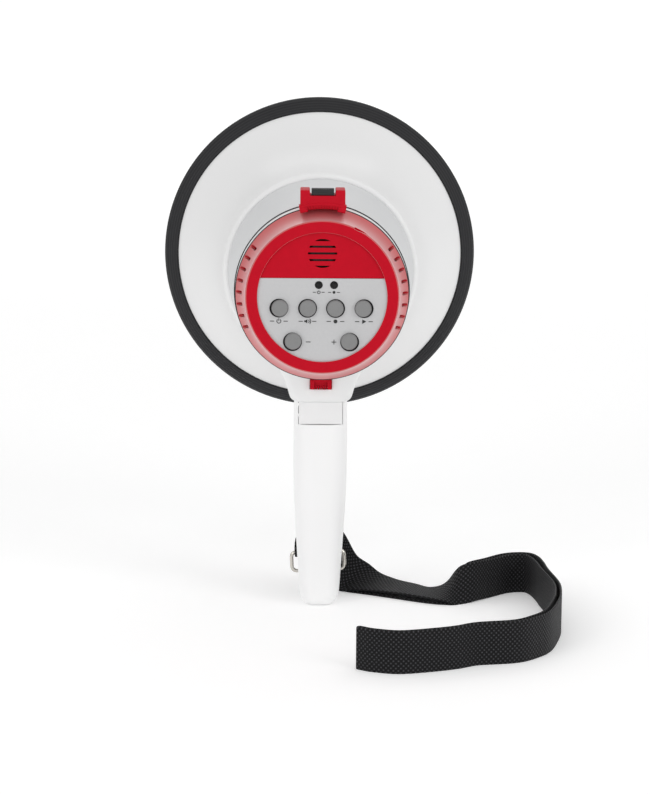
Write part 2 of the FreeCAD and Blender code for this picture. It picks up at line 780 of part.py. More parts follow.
def make_handle():
    outside = common("handle_outside", handle_loft("handle_skin", "0"),
                     top_relief("handle_top_side", "cheek_radius", "-1", "pivot_height + cheek_radius"))
    inside = common("handle_inside", handle_loft("handle_core", "skin", 2),
                    top_relief("handle_core_side", "cheek_radius - 2.6", "skin", "pivot_height + 1"))
    ceiling = slab("handle_ceiling", ("-40", "-40", "slot_floor - 3"), ("40", "40", "140"))
    slot = slab("handle_slot", ("-tongue_half - 0.3", "-40", "slot_floor"),
                ("tongue_half + 0.3", "barrel_radius + 0.8", "140"))
    pin_hole = rod("handle_pin_hole", "pin_radius", "60", ("-30", "0", "pivot_height"), TO_RIGHT)
    shell = cut("handle_shell", outside, cut("handle_hollow", inside, ceiling), slot, pin_hole)
    rear_room = slab("rear_room", ("-40", "-40", "-10"), ("40", "seam_plane", "140"))
    front_room = slab("front_room", ("-40", "seam_plane", "-10"), ("40", "40", "140"))
    rear = common("rear_half", shell, rear_room)
    front = common("front_half", shell, front_room)
    rear_posts = []
    front_posts = []
    bores = []
    screws = []
    for index in range(2):
        height = f"24 + 17 * {index}"
        rear_posts.append(rod(f"rear_post_{index}", "3.2", "18.6", ("0", "seam_plane", height), TO_REAR))
        front_posts.append(rod(f"front_post_{index}", "3.2", "10.5", ("0", "seam_plane", height), TO_FRONT))
        bores.append(rod(f"screw_bore_{index}", "1.5", "21", ("0", "-8", height), TO_FRONT))
        bores.append(rod(f"screw_counterbore_{index}", "2.9", "12", ("0", "seam_plane + 8.5", height),
                         TO_FRONT))
        head = rod(f"handle_screw_head_{index}", "2.7", "2", ("0", "seam_plane + 8.5", height), TO_FRONT)
        shank = rod(f"handle_screw_shank_{index}", "1.4", "18", ("0", "seam_plane + 8.5", height), TO_REAR)
        screws.append(join(f"handle_screw_{index}", head, shank))
    keep("handle_screws", group("handle_screw_set", *screws))
    keep("handle_rear_shell", cut("rear_shell_whole", join("rear_shell_posts", rear, *rear_posts), *bores))
    opening = slab("trigger_opening", ("-trigger_half - 0.4", "trigger_depth - 3.5", "trigger_end - 2.5"),
                   ("trigger_half + 0.4", "40", "trigger_height + 4.6"))
    bosses = [slab(f"trigger_boss_{index}", (low, "trigger_depth - 3.5", "trigger_height - 3.5"),
                   (high, "trigger_depth + 3.5", "trigger_height + 3.5"))
              for index, (low, high) in enumerate((("trigger_half + 0.5", "15"),
                                                   ("-15", "-trigger_half - 0.5")))]
    pin_bore = rod("trigger_pin_bore", "1.5", "24", ("-12", "trigger_depth", "trigger_height"), TO_RIGHT)
    lug = slab("ring_lug", ("-8", "13.5", "ring_low - 2.6"), ("8", "ring_depth + 2.2", "ring_low + 3.5"))
    lug_bore = rod("ring_lug_bore", "wire_radius + pin_play", "40",
                   ("-20", "ring_depth", "ring_low + wire_radius"), TO_RIGHT)
    pieces = join("front_shell_pieces", front, *front_posts, *bosses, lug)
    bore_copies = group("front_bores", *bores)
    keep("handle_front_shell", cut("front_shell_whole", pieces, opening, pin_bore, lug_bore, bore_copies))
    keep("fold_pin", rod("fold_pin_rod", "pin_radius", "30.4", ("-15.2", "0", "pivot_height"), TO_RIGHT))


def make_trigger():
    trigger = extruded("trigger_blank", "YZ_Plane", [
        ("trigger_depth - 3.2", "trigger_height + 3"),
        ("trigger_depth - 3.2", "trigger_height - 3"),
        ("trigger_depth + 1.2", "trigger_height - 7"),
        ("trigger_depth + 2.1", "trigger_end + 1.6"),
        ("trigger_depth + 3.6", "trigger_end"),
        ("trigger_depth + 11", "trigger_end + 0.5"),
        ("trigger_depth + 14", "trigger_end + 4", "-60"),
        ("trigger_depth + 11.6", "trigger_height - 4"),
        ("trigger_depth + 9", "trigger_height + 1"),
        ("trigger_depth + 4", "trigger_height + 3.6"),
    ], "trigger_half * 2")
    bore = rod("trigger_bore", "1.55", "30", ("-15", "trigger_depth", "trigger_height"), TO_RIGHT)
    keep("trigger", cut("trigger_whole", trigger, bore))
    keep("trigger_pin", rod("trigger_pin_rod", "1.5", "23", ("-11.5", "trigger_depth", "trigger_height"),
                            TO_RIGHT))
    plate = slab("switch_plate", ("-11", "0.8", "trigger_end - 1"), ("11", "2.8", "trigger_height - 8"))
    case = slab("switch_case", ("-5", "2.8", "trigger_height - 24"), ("5", "9", "trigger_height - 12"))
    key = slab("switch_key", ("-2", "9", "trigger_height - 20"), ("2", "10.2", "trigger_height - 17"))
    keep("trigger_switch", join("trigger_switch_whole", plate, case, key))
    keep("trigger_spring", tube("trigger_coil", "2.4", "1.8", "11.2", ("0", "3", "trigger_end + 4.5"),
                                TO_FRONT))


# ---- ring and strap ----


def make_ring():
    body = new_body("ring_body")
    centre = ("(ring_left + ring_right) / 2", "(ring_low + ring_high) / 2")
    wide = "(ring_right - ring_left) / 2"
    high = "(ring_high - ring_low) / 2"
    sketch = new_sketch(body, "ring_profile", "XZ_Plane", "-ring_depth")
    rounded_rectangle(sketch, wide, high, "3.4", centre)
    rounded_rectangle(sketch, f"{wide} - wire_radius * 2", f"{high} - wire_radius * 2", "1", centre)
    doc.recompute()
    pad = body.newObject("PartDesign::Pad", "ring_pad")
    pad.Profile = sketch
    pad.SideType = "Symmetric"
    bind(pad, Length="wire_radius * 2")
    doc.recompute()
    rounding = body.newObject("PartDesign::Fillet", "ring_rounding")
    rims = [f"Face{index}" for index, face in enumerate(pad.Shape.Faces, start=1)
            if abs(face.normalAt(0, 0).y) > 0.9]
    rounding.Base = (pad, rims)
    bind(rounding, Radius="wire_radius - 0.05")
    keep("strap_ring", body)


def strap_band(name, places):
    """A standing band of webbing, two strands thick, along places on the floor."""
    path = Part.makePolygon([Vector(across, along, 0) for across, along in places])
    face = path.makeOffset2D(number("strap_thick / 2"), 0, True, False)
    band = doc.addObject("Part::Feature", name)
    band.Shape = face.extrude(Vector(0, 0, number("strap_width")))
    band.Placement = Placement()
    return band


def make_strap():
    bar = ("-16.2", "ring_depth", "ring_high - wire_radius")
    around = rod("wrap_around", "2.9", "strap_width", bar, TO_RIGHT)
    tail = slab("wrap_tail", ("-16.2", "ring_depth - 1.9", "ring_high"),
                ("strap_width - 16.2", "ring_depth + 1.9", "39"))
    hole = rod("wrap_hole", "wire_radius + pin_play", "60",
               ("-30", "ring_depth", "ring_high - wire_radius"), TO_RIGHT)
    keep("strap_wrap", cut("wrap_whole", join("wrap_pieces", around, tail), hole))
    descent = extruded("strap_descent", "XZ_Plane", [
        ("14.6", "20"),
        ("20", "20"),
        ("20", "28"),
        ("14.6", "36"),
    ], "strap_thick", "-ring_depth - 11")
    keep("strap_back_run", join("back_run_whole", descent, strap_band("back_run_band", BACK_RUN)))
    keep("strap_front_run", strap_band("front_run_band", FRONT_RUN))


def check_and_write():
    """Stops on any failed object, then writes one STEP file for each sub-part."""
    doc.recompute()
    for thing in doc.Objects:
        if "Invalid" in thing.State or "Error" in thing.State:
            raise RuntimeError(f"{thing.Name} did not recompute")
    for thing in subparts:
        if thing.Shape.isNull() or not thing.Shape.isValid() or not thing.Shape.Solids:
            raise RuntimeError(f"{thing.Label} has no valid solid")
    os.makedirs("parts", exist_ok=True)
    for thing in subparts:
        thing.Shape.exportStep(f"parts/{thing.Label}.step")
    print(f"{len(subparts)} sub-parts written")


fill_sheet()
make_bell()
make_body()
make_horn_parts()
make_driver()
make_batteries()
make_cap()
make_panel()
make_buttons()
make_electronics()
make_latch()
make_neck()
make_handle()
make_trigger()
make_ring()
make_strap()
check_and_write()
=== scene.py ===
import json
import math

import bmesh
import bpy
import numpy as np
from bpy.props import FloatProperty, FloatVectorProperty, IntProperty, PointerProperty
from mathutils import Matrix


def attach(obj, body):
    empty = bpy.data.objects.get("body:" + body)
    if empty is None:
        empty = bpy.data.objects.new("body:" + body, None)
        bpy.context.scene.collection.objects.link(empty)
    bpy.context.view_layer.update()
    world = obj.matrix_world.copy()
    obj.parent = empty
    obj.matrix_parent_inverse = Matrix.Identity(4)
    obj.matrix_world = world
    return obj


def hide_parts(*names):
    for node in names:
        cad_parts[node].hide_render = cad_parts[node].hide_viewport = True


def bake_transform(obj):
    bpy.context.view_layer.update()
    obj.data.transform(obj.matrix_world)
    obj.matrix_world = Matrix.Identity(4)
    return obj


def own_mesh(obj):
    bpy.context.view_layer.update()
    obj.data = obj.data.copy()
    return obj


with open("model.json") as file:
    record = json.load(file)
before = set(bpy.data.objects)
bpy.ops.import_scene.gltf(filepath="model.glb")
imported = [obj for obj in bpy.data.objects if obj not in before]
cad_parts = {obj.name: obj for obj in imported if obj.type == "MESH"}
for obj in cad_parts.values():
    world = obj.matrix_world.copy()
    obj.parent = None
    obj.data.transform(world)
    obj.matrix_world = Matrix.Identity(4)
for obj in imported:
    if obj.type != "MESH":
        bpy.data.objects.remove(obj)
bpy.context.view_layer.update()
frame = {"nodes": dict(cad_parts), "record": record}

bl_info = {
    "name": "Folding Megaphone",
    "version": (1, 0, 0),
    "blender": (4, 5, 0),
    "location": "View3D > Sidebar > Megaphone",
    "description": "Builds a folding hand megaphone round its packed parts",
    "category": "Add Mesh",
}

NODES = frame["nodes"]

MM = 0.001
AXIS_HEIGHT = 202.0
FULL_TURN = 2 * math.pi
PANEL_FACE = -73.8  # the panel's outer face, along Y in mm
FOLD_PIN_HEIGHT = 122.0  # the pin that the head folds about, in mm
RING_BAR = (20.5, 15.7)  # depth and height of the wire in the handle's lug, in mm
SHARP = 0.0001  # an edge radius in mm, too small to see, for blocks that only cut
WELD = 1e-7  # points nearer than this in metres are one point
WAVE_REPEAT = 0.31416  # a wave texture of scale 1 repeats over this length in metres

# Button and light places on the panel: x from the horn's axis and height above it, in mm.
BUTTON_PLACES = {
    "power_button": (-25.5, -6.6),
    "siren_button": (-8.6, -6.6),
    "record_button": (7.9, -6.6),
    "play_button": (24.7, -6.6),
    "volume_down_button": (-17.4, -26.6),
    "volume_up_button": (16.4, -26.6),
}
LIGHT_PLACES = ((-2.1, 7.3), (6.9, 7.3))

# The handle's sections: half width, half depth and height, in mm.
HANDLE_SECTIONS = (
    (5.6, 8.6, 0), (7.4, 10.4, 0.6), (9.0, 12.0, 1.6), (10.4, 13.4, 3.2), (11.4, 14.4, 5.6), (12.4, 15.0, 10),
    (13.5, 15.5, 26), (14.5, 16.4, 42), (15.4, 17.3, 57), (16.2, 18.4, 72), (16.5, 19.3, 90), (16.5, 19.7, 108),
    (16.3, 20, 130),
)

# The strap's lower edge, upper edge and half the space between its two runs, in mm.
STRAP_STATIONS = (
    ((-15.4, 20.5, 26.6), (9.6, 20.5, 28.6), 2.1),
    ((-15.5, 21.6, 30.5), (9.5, 21.4, 34), 2.1),
    ((-14.3, 24.4, 33.2), (10.5, 25.4, 39.8), 2.1),
    ((-7.5, 28.4, 26.6), (15.2, 31, 39.2), 2.0),
    ((9.4, 31.7, 0.8), (25.0, 36, 22.0), 1.6),
    ((22, 23, 0), (36.4, 40.4, 8.4), 1.2),
    ((35, 15.8, 0), (48.2, 36.0, 3.0), 1.4),
    ((51.8, 5.4, 0), (61.0, 28.0, 1.0), 1.7),
    ((69.2, -4.8, 0), (71.4, 19.5, 1.2), 1.5),
    ((80, -7.5, 0), (81.8, 14.8, 7.2), 1.2),
    ((93.5, 0, 0), (93.5, 2.5, 24.6), 1.6),
    ((106.5, 15, 0), (106.5, 15, 25), 2.1),
    ((119, 28, 0), (119, 28, 25), 2.4),
    ((131, 30.5, 0), (131, 30.5, 25), 2.5),
    ((136, 22.5, 0), (136, 22.5, 25), 2.4),
    ((138.5, 7, 0), (138.5, 7, 25), 2.1),
    ((140, -12, 0), (140, -12, 25), 1.8),
    ((144, -48, 0), (144, -48, 25), 1.6),
    ((143, -73, 0), (143, -73, 25), 1.6),
    ((140, -92, 0), (140, -92, 25), 1.7),
    ((133, -119, 0), (133, -119, 25), 1.8),
    ((124, -134, 0), (124, -134, 25), 1.9),
    ((112, -145, 0), (112, -145, 25), 1.7),
    ((90, -151, 0), (90, -151, 25), 1.3),
    ((78, -159, 0), (78, -159, 25), 1.2),
    ((65, -165, 0), (65, -165, 25), 1.2),
    ((45, -171, 0), (45, -171, 25), 1.2),
    ((30, -167, 0), (30, -167, 25), 1.3),
    ((22, -161.5, 0), (22, -161.5, 25), 1.4),
)


# ---- curves and surfaces ----


def arc(start, end, radius, steps=24):
    """Points of the arc from start to end; a positive radius bulges to the right of the way."""
    a = np.array(start, float)
    b = np.array(end, float)
    half = (b - a) / 2
    length = np.linalg.norm(half)
    right = np.array([half[1], -half[0]]) / length
    rise = math.sqrt(radius ** 2 - length ** 2)
    centre = a + half - right * math.copysign(rise, radius)
    first, last = (math.atan2(*(point - centre)[::-1]) for point in (a, b))
    sweep = (last - first + math.pi) % FULL_TURN - math.pi
    angles = first + sweep * np.linspace(0, 1, steps + 1)
    return centre + abs(radius) * np.column_stack([np.cos(angles), np.sin(angles)])


def softened(corners, radius, steps=4, closed=True):
    """A polygon with each corner replaced by corner + reach * (to_last * (1-s)^2 + to_next * s^2), s from 0 to 1."""
    corners = np.asarray(corners, float)
    to_last = np.roll(corners, 1, axis=0) - corners
    to_next = np.roll(corners, -1, axis=0) - corners
    last_run = np.linalg.norm(to_last, axis=1)
    next_run = np.linalg.norm(to_next, axis=1)
    reach = np.minimum(np.broadcast_to(radius, last_run.shape), 0.45 * np.minimum(last_run, next_run))
    if not closed:
        reach = reach.copy()
        reach[[0, -1]] = 0
    s = np.linspace(0, 1, steps + 1)[None, :, None]
    back = (to_last / last_run[:, None])[:, None, :] * (1 - s) ** 2
    onward = (to_next / next_run[:, None])[:, None, :] * s ** 2
    points = (corners[:, None, :] + reach[:, None, None] * (back + onward)).reshape(-1, corners.shape[1])
    step = np.linalg.norm(points - np.roll(points, 1, axis=0), axis=1)
    return points[step > 1e-6]


def smooth_run(stations, steps):
    """A cubic through every row of stations: its slope there is half the step between the neighbours."""
    table = np.asarray(stations, float)
    slope = np.gradient(table, axis=0)
    s = np.linspace(0, 1, steps, endpoint=False)[None, :, None]
    start = (2 * s ** 3 - 3 * s ** 2 + 1) * table[:-1, None, :] + (s ** 3 - 2 * s ** 2 + s) * slope[:-1, None, :]
    finish = (3 * s ** 2 - 2 * s ** 3) * table[1:, None, :] + (s ** 3 - s ** 2) * slope[1:, None, :]
    return np.vstack([(start + finish).reshape(-1, table.shape[1]), table[-1:]])


def grid_faces(rows, columns, wrap_rows=False, wrap_columns=True):
    """Quads between neighbouring points of a rows x columns grid, round the ends where it wraps."""
    row = np.arange(rows if wrap_rows else rows - 1)[:, None]
    column = np.arange(columns if wrap_columns else columns - 1)[None, :]
    next_row = (row + 1) % rows
    next_column = (column + 1) % columns
    quads = [row * columns + column, row * columns + next_column,
             next_row * columns + next_column, next_row * columns + column]
    return np.stack(np.broadcast_arrays(*quads), axis=-1).reshape(-1, 4).tolist()


def placed(name, data):
    """A new object in the scene, at the origin."""
    thing = bpy.data.objects.new(name, data)
    bpy.context.scene.collection.objects.link(thing)
    return thing


def piece_from(name, points, faces, sharp=38):
    """One object at the origin from points in mm, with doubles merged and every face outward."""
    mesh = bpy.data.meshes.new(name)
    mesh.from_pydata((np.asarray(points, float) * MM).tolist(), [], faces)
    shell = bmesh.new()
    shell.from_mesh(mesh)
    bmesh.ops.remove_doubles(shell, verts=shell.verts, dist=WELD)
    bmesh.ops.recalc_face_normals(shell, faces=shell.faces)
    shell.to_mesh(mesh)
    shell.free()
    thing = placed(name, mesh)
    shade(thing, sharp)
    return thing


def shade(thing, sharp=38):
    """Smooth faces, with an edge kept crisp where its faces turn by more than sharp degrees."""
    thing.data.polygons.foreach_set("use_smooth", np.ones(len(thing.data.polygons), bool))
    thing.data.set_sharp_from_angle(angle=math.radians(sharp))


def lathe(name, profile, around=192, centre=(0, AXIS_HEIGHT), sharp=38):
    """A closed (radius, y) profile turned about a line along Y: x = r sin t, z = r cos t."""
    profile = np.asarray(profile, float)
    t = np.linspace(0, FULL_TURN, around, endpoint=False)
    radius = profile[:, :1]
    points = np.stack(np.broadcast_arrays(centre[0] + radius * np.sin(t), profile[:, 1:],
                                          centre[1] + radius * np.cos(t)), axis=-1)
    return piece_from(name, points.reshape(-1, 3), grid_faces(len(profile), around, wrap_rows=True), sharp)


def sector(name, profile, first, last, steps=40, sharp=38):
    """A closed (radius, y) profile carried round the horn's axis from one angle to another, with closed ends."""
    profile = np.asarray(profile, float)
    t = np.radians(np.linspace(first, last, steps))[:, None]
    points = np.stack(np.broadcast_arrays(profile[:, 0] * np.cos(t), profile[:, 1],
                                          AXIS_HEIGHT + profile[:, 0] * np.sin(t)), axis=-1)
    return loft(name, points, sharp)


def loft(name, rings, sharp=38):
    """A skin through closed rings of equal count, with a flat face over each end."""
    rings = np.asarray(rings, float)
    rows, columns = rings.shape[:2]
    faces = grid_faces(rows, columns)
    faces.append(list(range(columns)))
    faces.append(list(range((rows - 1) * columns, rows * columns)))
    return piece_from(name, rings.reshape(-1, 3), faces, sharp)


def rounded_rings(table, steps=6):
    """Level rings, one per row (half width, half depth, corner, height, middle x, middle y):
    x = sign(cos t) (width - corner) + corner cos t, and the same for y with sin t."""
    table = np.asarray(table, float)
    quarter = (np.arange(steps) + 0.5) / steps * math.pi / 2
    t = np.concatenate([quarter + turn * math.pi / 2 for turn in range(4)])[None, :]
    wide, deep, corner, height, x, y = (table[:, index:index + 1] for index in range(6))
    across = x + np.sign(np.cos(t)) * (wide - corner) + corner * np.cos(t)
    along = y + np.sign(np.sin(t)) * (deep - corner) + corner * np.sin(t)
    return np.stack(np.broadcast_arrays(across, along, height), axis=-1)


def block(name, low, high, edge, corner=None, upright=2):
    """A box between two corners with rounded edges; upright is the axis whose edges take the corner radius."""
    order = [(1, 2, 0), (2, 0, 1), (0, 1, 2)][upright]
    low = np.array(low, float)[list(order)]
    high = np.array(high, float)[list(order)]
    half = (high - low) / 2
    middle = (high + low) / 2
    corner = corner or edge
    turn = np.linspace(0, math.pi / 2, 5)
    inset = edge * (1 - np.sin(turn))
    rise = edge * (1 - np.cos(turn))
    height = np.concatenate([middle[2] - half[2] + rise, (middle[2] + half[2] - rise)[::-1]])
    inset = np.concatenate([inset, inset[::-1]])
    table = np.column_stack([half[0] - inset, half[1] - inset, np.maximum(corner - inset, 0.02), height,
                             np.full(10, middle[0]), np.full(10, middle[1])])
    rings = rounded_rings(table)
    back = np.argsort(order)
    return loft(name, rings[..., back])


def prism(name, outline, low, high, along=1, sharp=38):
    """A closed outline in the two other axes, carried along one axis from low to high."""
    outline = np.asarray(outline, float)
    rings = np.stack([np.insert(outline, along, value, axis=1) for value in (low, high)])
    return loft(name, rings, sharp)


def rounded(thing, width, segments=3, angle=40, sharp=38):
    """Rounds every edge that turns by more than the angle, by width in mm."""
    change = thing.modifiers.new("edge", "BEVEL")
    change.width = width * MM
    change.segments = segments
    change.limit_method = "ANGLE"
    change.angle_limit = math.radians(angle)
    return settle(thing, sharp)


def settle(thing, sharp=38):
    """Applies the modifiers to the mesh."""
    bpy.context.view_layer.update()
    graph = bpy.context.evaluated_depsgraph_get()
    shaped = bpy.data.meshes.new_from_object(thing.evaluated_get(graph))
    thing.modifiers.clear()
    old = thing.data
    thing.data = shaped
    bpy.data.meshes.remove(old)
    shaped.name = thing.name
    shade(thing, sharp)
    return thing


def carve(thing, *tools, keep_shared=False, sharp=38):
    """Takes the tools' room out of the thing, or keeps only what it shares with them, and removes the tools."""
    for tool in tools:
        change = thing.modifiers.new("carve", "BOOLEAN")
        change.operation = "INTERSECT" if keep_shared else "DIFFERENCE"
        change.solver = "EXACT"
        change.object = tool
    settle(thing, sharp)
    for tool in tools:
        bpy.data.objects.remove(tool)
    if not thing.data.polygons:
        raise RuntimeError(f"nothing is left of {thing.name}")
    return thing


def merged(name, *things):
    """Several closed shells as one object."""
    mesh = bpy.data.meshes.new(name)
    whole = bmesh.new()
    for thing in things:
        whole.from_mesh(thing.data)
    whole.to_mesh(mesh)
    whole.free()
    for thing in things:
        bpy.data.objects.remove(thing)
    whole_thing = placed(name, mesh)
    shade(whole_thing)
    return whole_thing


def turned(thing, angle):
    """A piece drawn about the origin, turned by angle from X towards Z and moved up to the horn's axis."""
    thing.data.transform(Matrix.Rotation(-angle, 4, "Y"))
    thing.data.transform(Matrix.Translation((0, 0, AXIS_HEIGHT * MM)))
    return thing


def polar(radius, angles):
    """Points at a radius and angles in degrees."""
    turn = np.radians(np.asarray(angles, float))
    return np.column_stack([radius * np.cos(turn), radius * np.sin(turn)])


def fit(thing, body, slot, finish, *nodes):
    """Rides a finished piece on its body, hides the nodes that it stands for, and gives its finish; slot is not used.
    """
    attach(thing, body)
    if nodes:
        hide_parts(*nodes)
    if finish:
        thing.data.materials.clear()
        thing.data.materials.append(finish)
    return thing


# ---- finishes ----


def linear(code):
    """Linear red, green and blue of an sRGB hex code."""
    value = np.array([int(code[index:index + 2], 16) for index in (0, 2, 4)]) / 255
    return tuple(np.where(value <= 0.04045, value / 12.92, ((value + 0.055) / 1.055) ** 2.4).tolist())


def colour_setting(name, description, code):
    """A colour in the sidebar, from an sRGB hex code."""
    return FloatVectorProperty(name=name, description=description, subtype="COLOR", size=3, min=0, max=1,
                               default=linear(code))


def add(tree, kind, inputs=None, **settings):
    """Adds one node, with its settings, and its inputs from values or from other nodes' outputs."""
    node = tree.nodes.new(kind)
    for key, value in settings.items():
        setattr(node, key, value)
    for socket, value in (inputs or {}).items():
        if isinstance(value, bpy.types.NodeSocket):
            tree.links.new(value, node.inputs[socket])
        else:
            node.inputs[socket].default_value = value
    return node


def per_mm(size):
    """The scale that makes a pattern on Object coordinates repeat about every size in mm."""
    return 1 / (size * MM)


def finish_of(name, colour, rough, ior=1.5, metal=0.0, grit=0.5, grit_depth=0.01, mottle=14, shift=0.06,
              rough_shift=0.06, coat=0.0, coat_rough=0.05, gloss=0.5, gloss_tint=(1.0, 1.0, 1.0), glow=0.0, sheen=0.0,
              bump_from=None):
    """A material for one real finish.

    colour and rough waver by shift and rough_shift over patches of mottle mm; the bump is a grit of the given size
    and depth in mm, or what bump_from adds.
    """
    known = bpy.data.materials.get(name)
    if known:
        return known
    material = bpy.data.materials.new(name)
    material.use_nodes = True
    tree = material.node_tree
    tree.nodes.clear()
    place = add(tree, "ShaderNodeTexCoord").outputs["Object"]
    patches = add(tree, "ShaderNodeTexNoise", {"Vector": place, "Scale": per_mm(mottle), "Detail": 4.0,
                                               "Roughness": 0.55})
    lighter = tuple(min(1.0, part * (1 + shift)) for part in colour) + (1.0,)
    darker = tuple(part * (1 - shift) for part in colour) + (1.0,)
    tint = add(tree, "ShaderNodeMix", {0: patches.outputs["Fac"], 6: darker, 7: lighter}, data_type="RGBA")
    grain = add(tree, "ShaderNodeTexNoise", {"Vector": place, "Scale": per_mm(grit), "Detail": 3.0,
                                             "Roughness": 0.6})
    fine = add(tree, "ShaderNodeMapRange", {"Value": grain.outputs["Fac"], "To Min": rough - rough_shift,
                                            "To Max": rough + rough_shift})
    height = grain.outputs["Fac"]
    colour_out = tint.outputs[2]
    if bump_from:
        height, colour_out = bump_from(tree, place, height, colour_out)
    bump = add(tree, "ShaderNodeBump", {"Height": height, "Strength": 1.0, "Distance": grit_depth * MM})
    shader = add(tree, "ShaderNodeBsdfPrincipled", {
        "Base Color": colour_out, "Roughness": fine.outputs["Result"], "Normal": bump.outputs["Normal"],
        "Metallic": metal, "IOR": ior, "Specular IOR Level": gloss, "Coat Weight": coat,
        "Specular Tint": tuple(gloss_tint) + (1.0,),
        "Coat Roughness": coat_rough, "Coat IOR": 1.8, "Sheen Weight": sheen,
        "Emission Color": (1.0, 1.0, 1.0, 1.0), "Emission Strength": glow})
    add(tree, "ShaderNodeOutputMaterial", {"Surface": shader.outputs["BSDF"]})
    return material


def turned_rings(tree, place, height, colour):
    """Adds the fine rings that a round mould leaves on rubber, 1.6 mm apart about the horn's axis."""
    centred = add(tree, "ShaderNodeMapping", {"Vector": place, "Location": (0, 0, -AXIS_HEIGHT * MM)})
    rings = add(tree, "ShaderNodeTexWave", {"Vector": centred.outputs["Vector"], "Scale": WAVE_REPEAT / (1.6 * MM),
                                            "Distortion": 0.6, "Detail": 1.0},
                wave_type="RINGS", rings_direction="Y")
    ridge = add(tree, "ShaderNodeMath", {0: rings.outputs["Fac"], 1: 2.5}, operation="MULTIPLY")
    both = add(tree, "ShaderNodeMath", {0: ridge.outputs[0], 1: height}, operation="ADD")
    paler = add(tree, "ShaderNodeMix", {0: rings.outputs["Fac"], 6: colour, 7: linear("3A3A3C") + (1.0,)},
                data_type="RGBA")
    faint = add(tree, "ShaderNodeMix", {0: 0.35, 6: colour, 7: paler.outputs[2]}, data_type="RGBA")
    return both.outputs[0], faint.outputs[2]


def drawn_scratches(tree, place, height, colour):
    """Adds lengthwise drawing marks of metal wire and sheet, stretched twelve to one along X."""
    stretched = add(tree, "ShaderNodeMapping", {"Vector": place, "Scale": (0.08, 1, 1)})
    marks = add(tree, "ShaderNodeTexNoise", {"Vector": stretched.outputs["Vector"], "Scale": per_mm(0.35),
                                             "Detail": 2.0})
    both = add(tree, "ShaderNodeMath", {0: marks.outputs["Fac"], 1: height}, operation="ADD")
    return both.outputs[0], colour


def woven(pitch, bright):
    """The webbing's basket weave on its own UV map, in metres: sin(2 pi u / pitch) sin(2 pi v / pitch); its raised
    crests are coloured toward bright as a painted highlight.
    """

    def weave(tree, place, height, colour):
        own = add(tree, "ShaderNodeUVMap", uv_map="UVMap").outputs["UV"]
        parts = add(tree, "ShaderNodeSeparateXYZ", {"Vector": own})
        waves = []
        for side in ("X", "Y"):
            turn = add(tree, "ShaderNodeMath", {0: parts.outputs[side], 1: FULL_TURN / pitch}, operation="MULTIPLY")
            waves.append(add(tree, "ShaderNodeMath", {0: turn.outputs[0]}, operation="SINE").outputs[0])
        knot = add(tree, "ShaderNodeMath", {0: waves[0], 1: waves[1]}, operation="MULTIPLY")
        lift = add(tree, "ShaderNodeMapRange", {"Value": knot.outputs[0], "From Min": -0.75, "From Max": 0.9})
        thread = add(tree, "ShaderNodeMath", {0: parts.outputs["X"], 1: FULL_TURN / pitch * 6}, operation="MULTIPLY")
        fibre = add(tree, "ShaderNodeMath", {0: thread.outputs[0]}, operation="SINE")
        fuzz = add(tree, "ShaderNodeMath", {0: fibre.outputs[0], 1: 0.06, 2: lift.outputs["Result"]},
                   operation="MULTIPLY_ADD")
        both = add(tree, "ShaderNodeMath", {0: height, 1: 0.18, 2: fuzz.outputs[0]}, operation="MULTIPLY_ADD")
        # Painted highlight: the raised crests of the weave are coloured toward the bright colour.
        painted_glint = add(tree, "ShaderNodeMath", {0: lift.outputs["Result"], 1: 4.0}, operation="POWER")
        shown = add(tree, "ShaderNodeMix", {0: painted_glint.outputs[0], 6: colour, 7: bright + (1.0,)}, data_type="RGBA")
        return both.outputs[0], shown.outputs[2]

    return weave


def white_abs():
    """Moulded white ABS, polished mould: a clean skin with a faint orange peel."""
    return finish_of("white_abs_moulded", tuple(bpy.context.scene.megaphone_horn.bell_colour), 0.34, ior=1.5,
                     grit=5.0, grit_depth=0.01, mottle=60, shift=0.012, rough_shift=0.03, gloss=0.4)


def white_handle_abs():
    """Moulded white ABS from a spark-eroded mould: satin, with a fine grit that is felt more than seen."""
    return finish_of("white_abs_satin", tuple(bpy.context.scene.megaphone_handle.handle_colour), 0.42, ior=1.54,
                     grit=0.6, grit_depth=0.012, mottle=40, shift=0.01, rough_shift=0.05)


def red_abs_polished():
    """Moulded red ABS from a polished mould: mirrors the bright room at a low angle."""
    return finish_of("red_abs_polished", tuple(bpy.context.scene.megaphone_cap.cap_colour), 0.42, ior=1.7,
                     grit=6.0, grit_depth=0.006, mottle=30, shift=0.04, rough_shift=0.03, coat=0.9, coat_rough=0.52,
                     gloss_tint=linear("FFE9D8"), sheen=0.5)


def red_abs_satin():
    """Moulded red ABS of the small working parts: satin, with little shine even at a low angle."""
    return finish_of("red_abs_satin", tuple(bpy.context.scene.megaphone_cap.cap_colour), 0.5, grit=0.7,
                     grit_depth=0.015, mottle=5, shift=0.06, gloss=0.12)


def red_abs_stippled():
    """The same red ABS where the mould is stippled: a dull fine grain, drawn at 0.9 mm so that it shows."""
    return finish_of("red_abs_stippled", tuple(bpy.context.scene.megaphone_cap.cap_colour), 0.55,
                     grit=0.9, grit_depth=0.05, mottle=5, shift=0.09, rough_shift=0.12, gloss=0.1)


def painted_panel():
    """Silver paint sprayed on ABS: flakes give a fine sparkle, drawn at 0.8 mm so that it shows."""
    return finish_of("silver_paint_sprayed", tuple(bpy.context.scene.megaphone_cap.panel_colour), 0.46,
                     metal=0.15, grit=0.8, grit_depth=0.03, mottle=1.6, shift=0.045, rough_shift=0.12)


def grey_abs():
    """Moulded grey ABS of the buttons, lightly textured."""
    return finish_of("grey_abs_buttons", tuple(bpy.context.scene.megaphone_cap.button_colour), 0.45,
                     grit=0.7, grit_depth=0.02, mottle=3, shift=0.05)


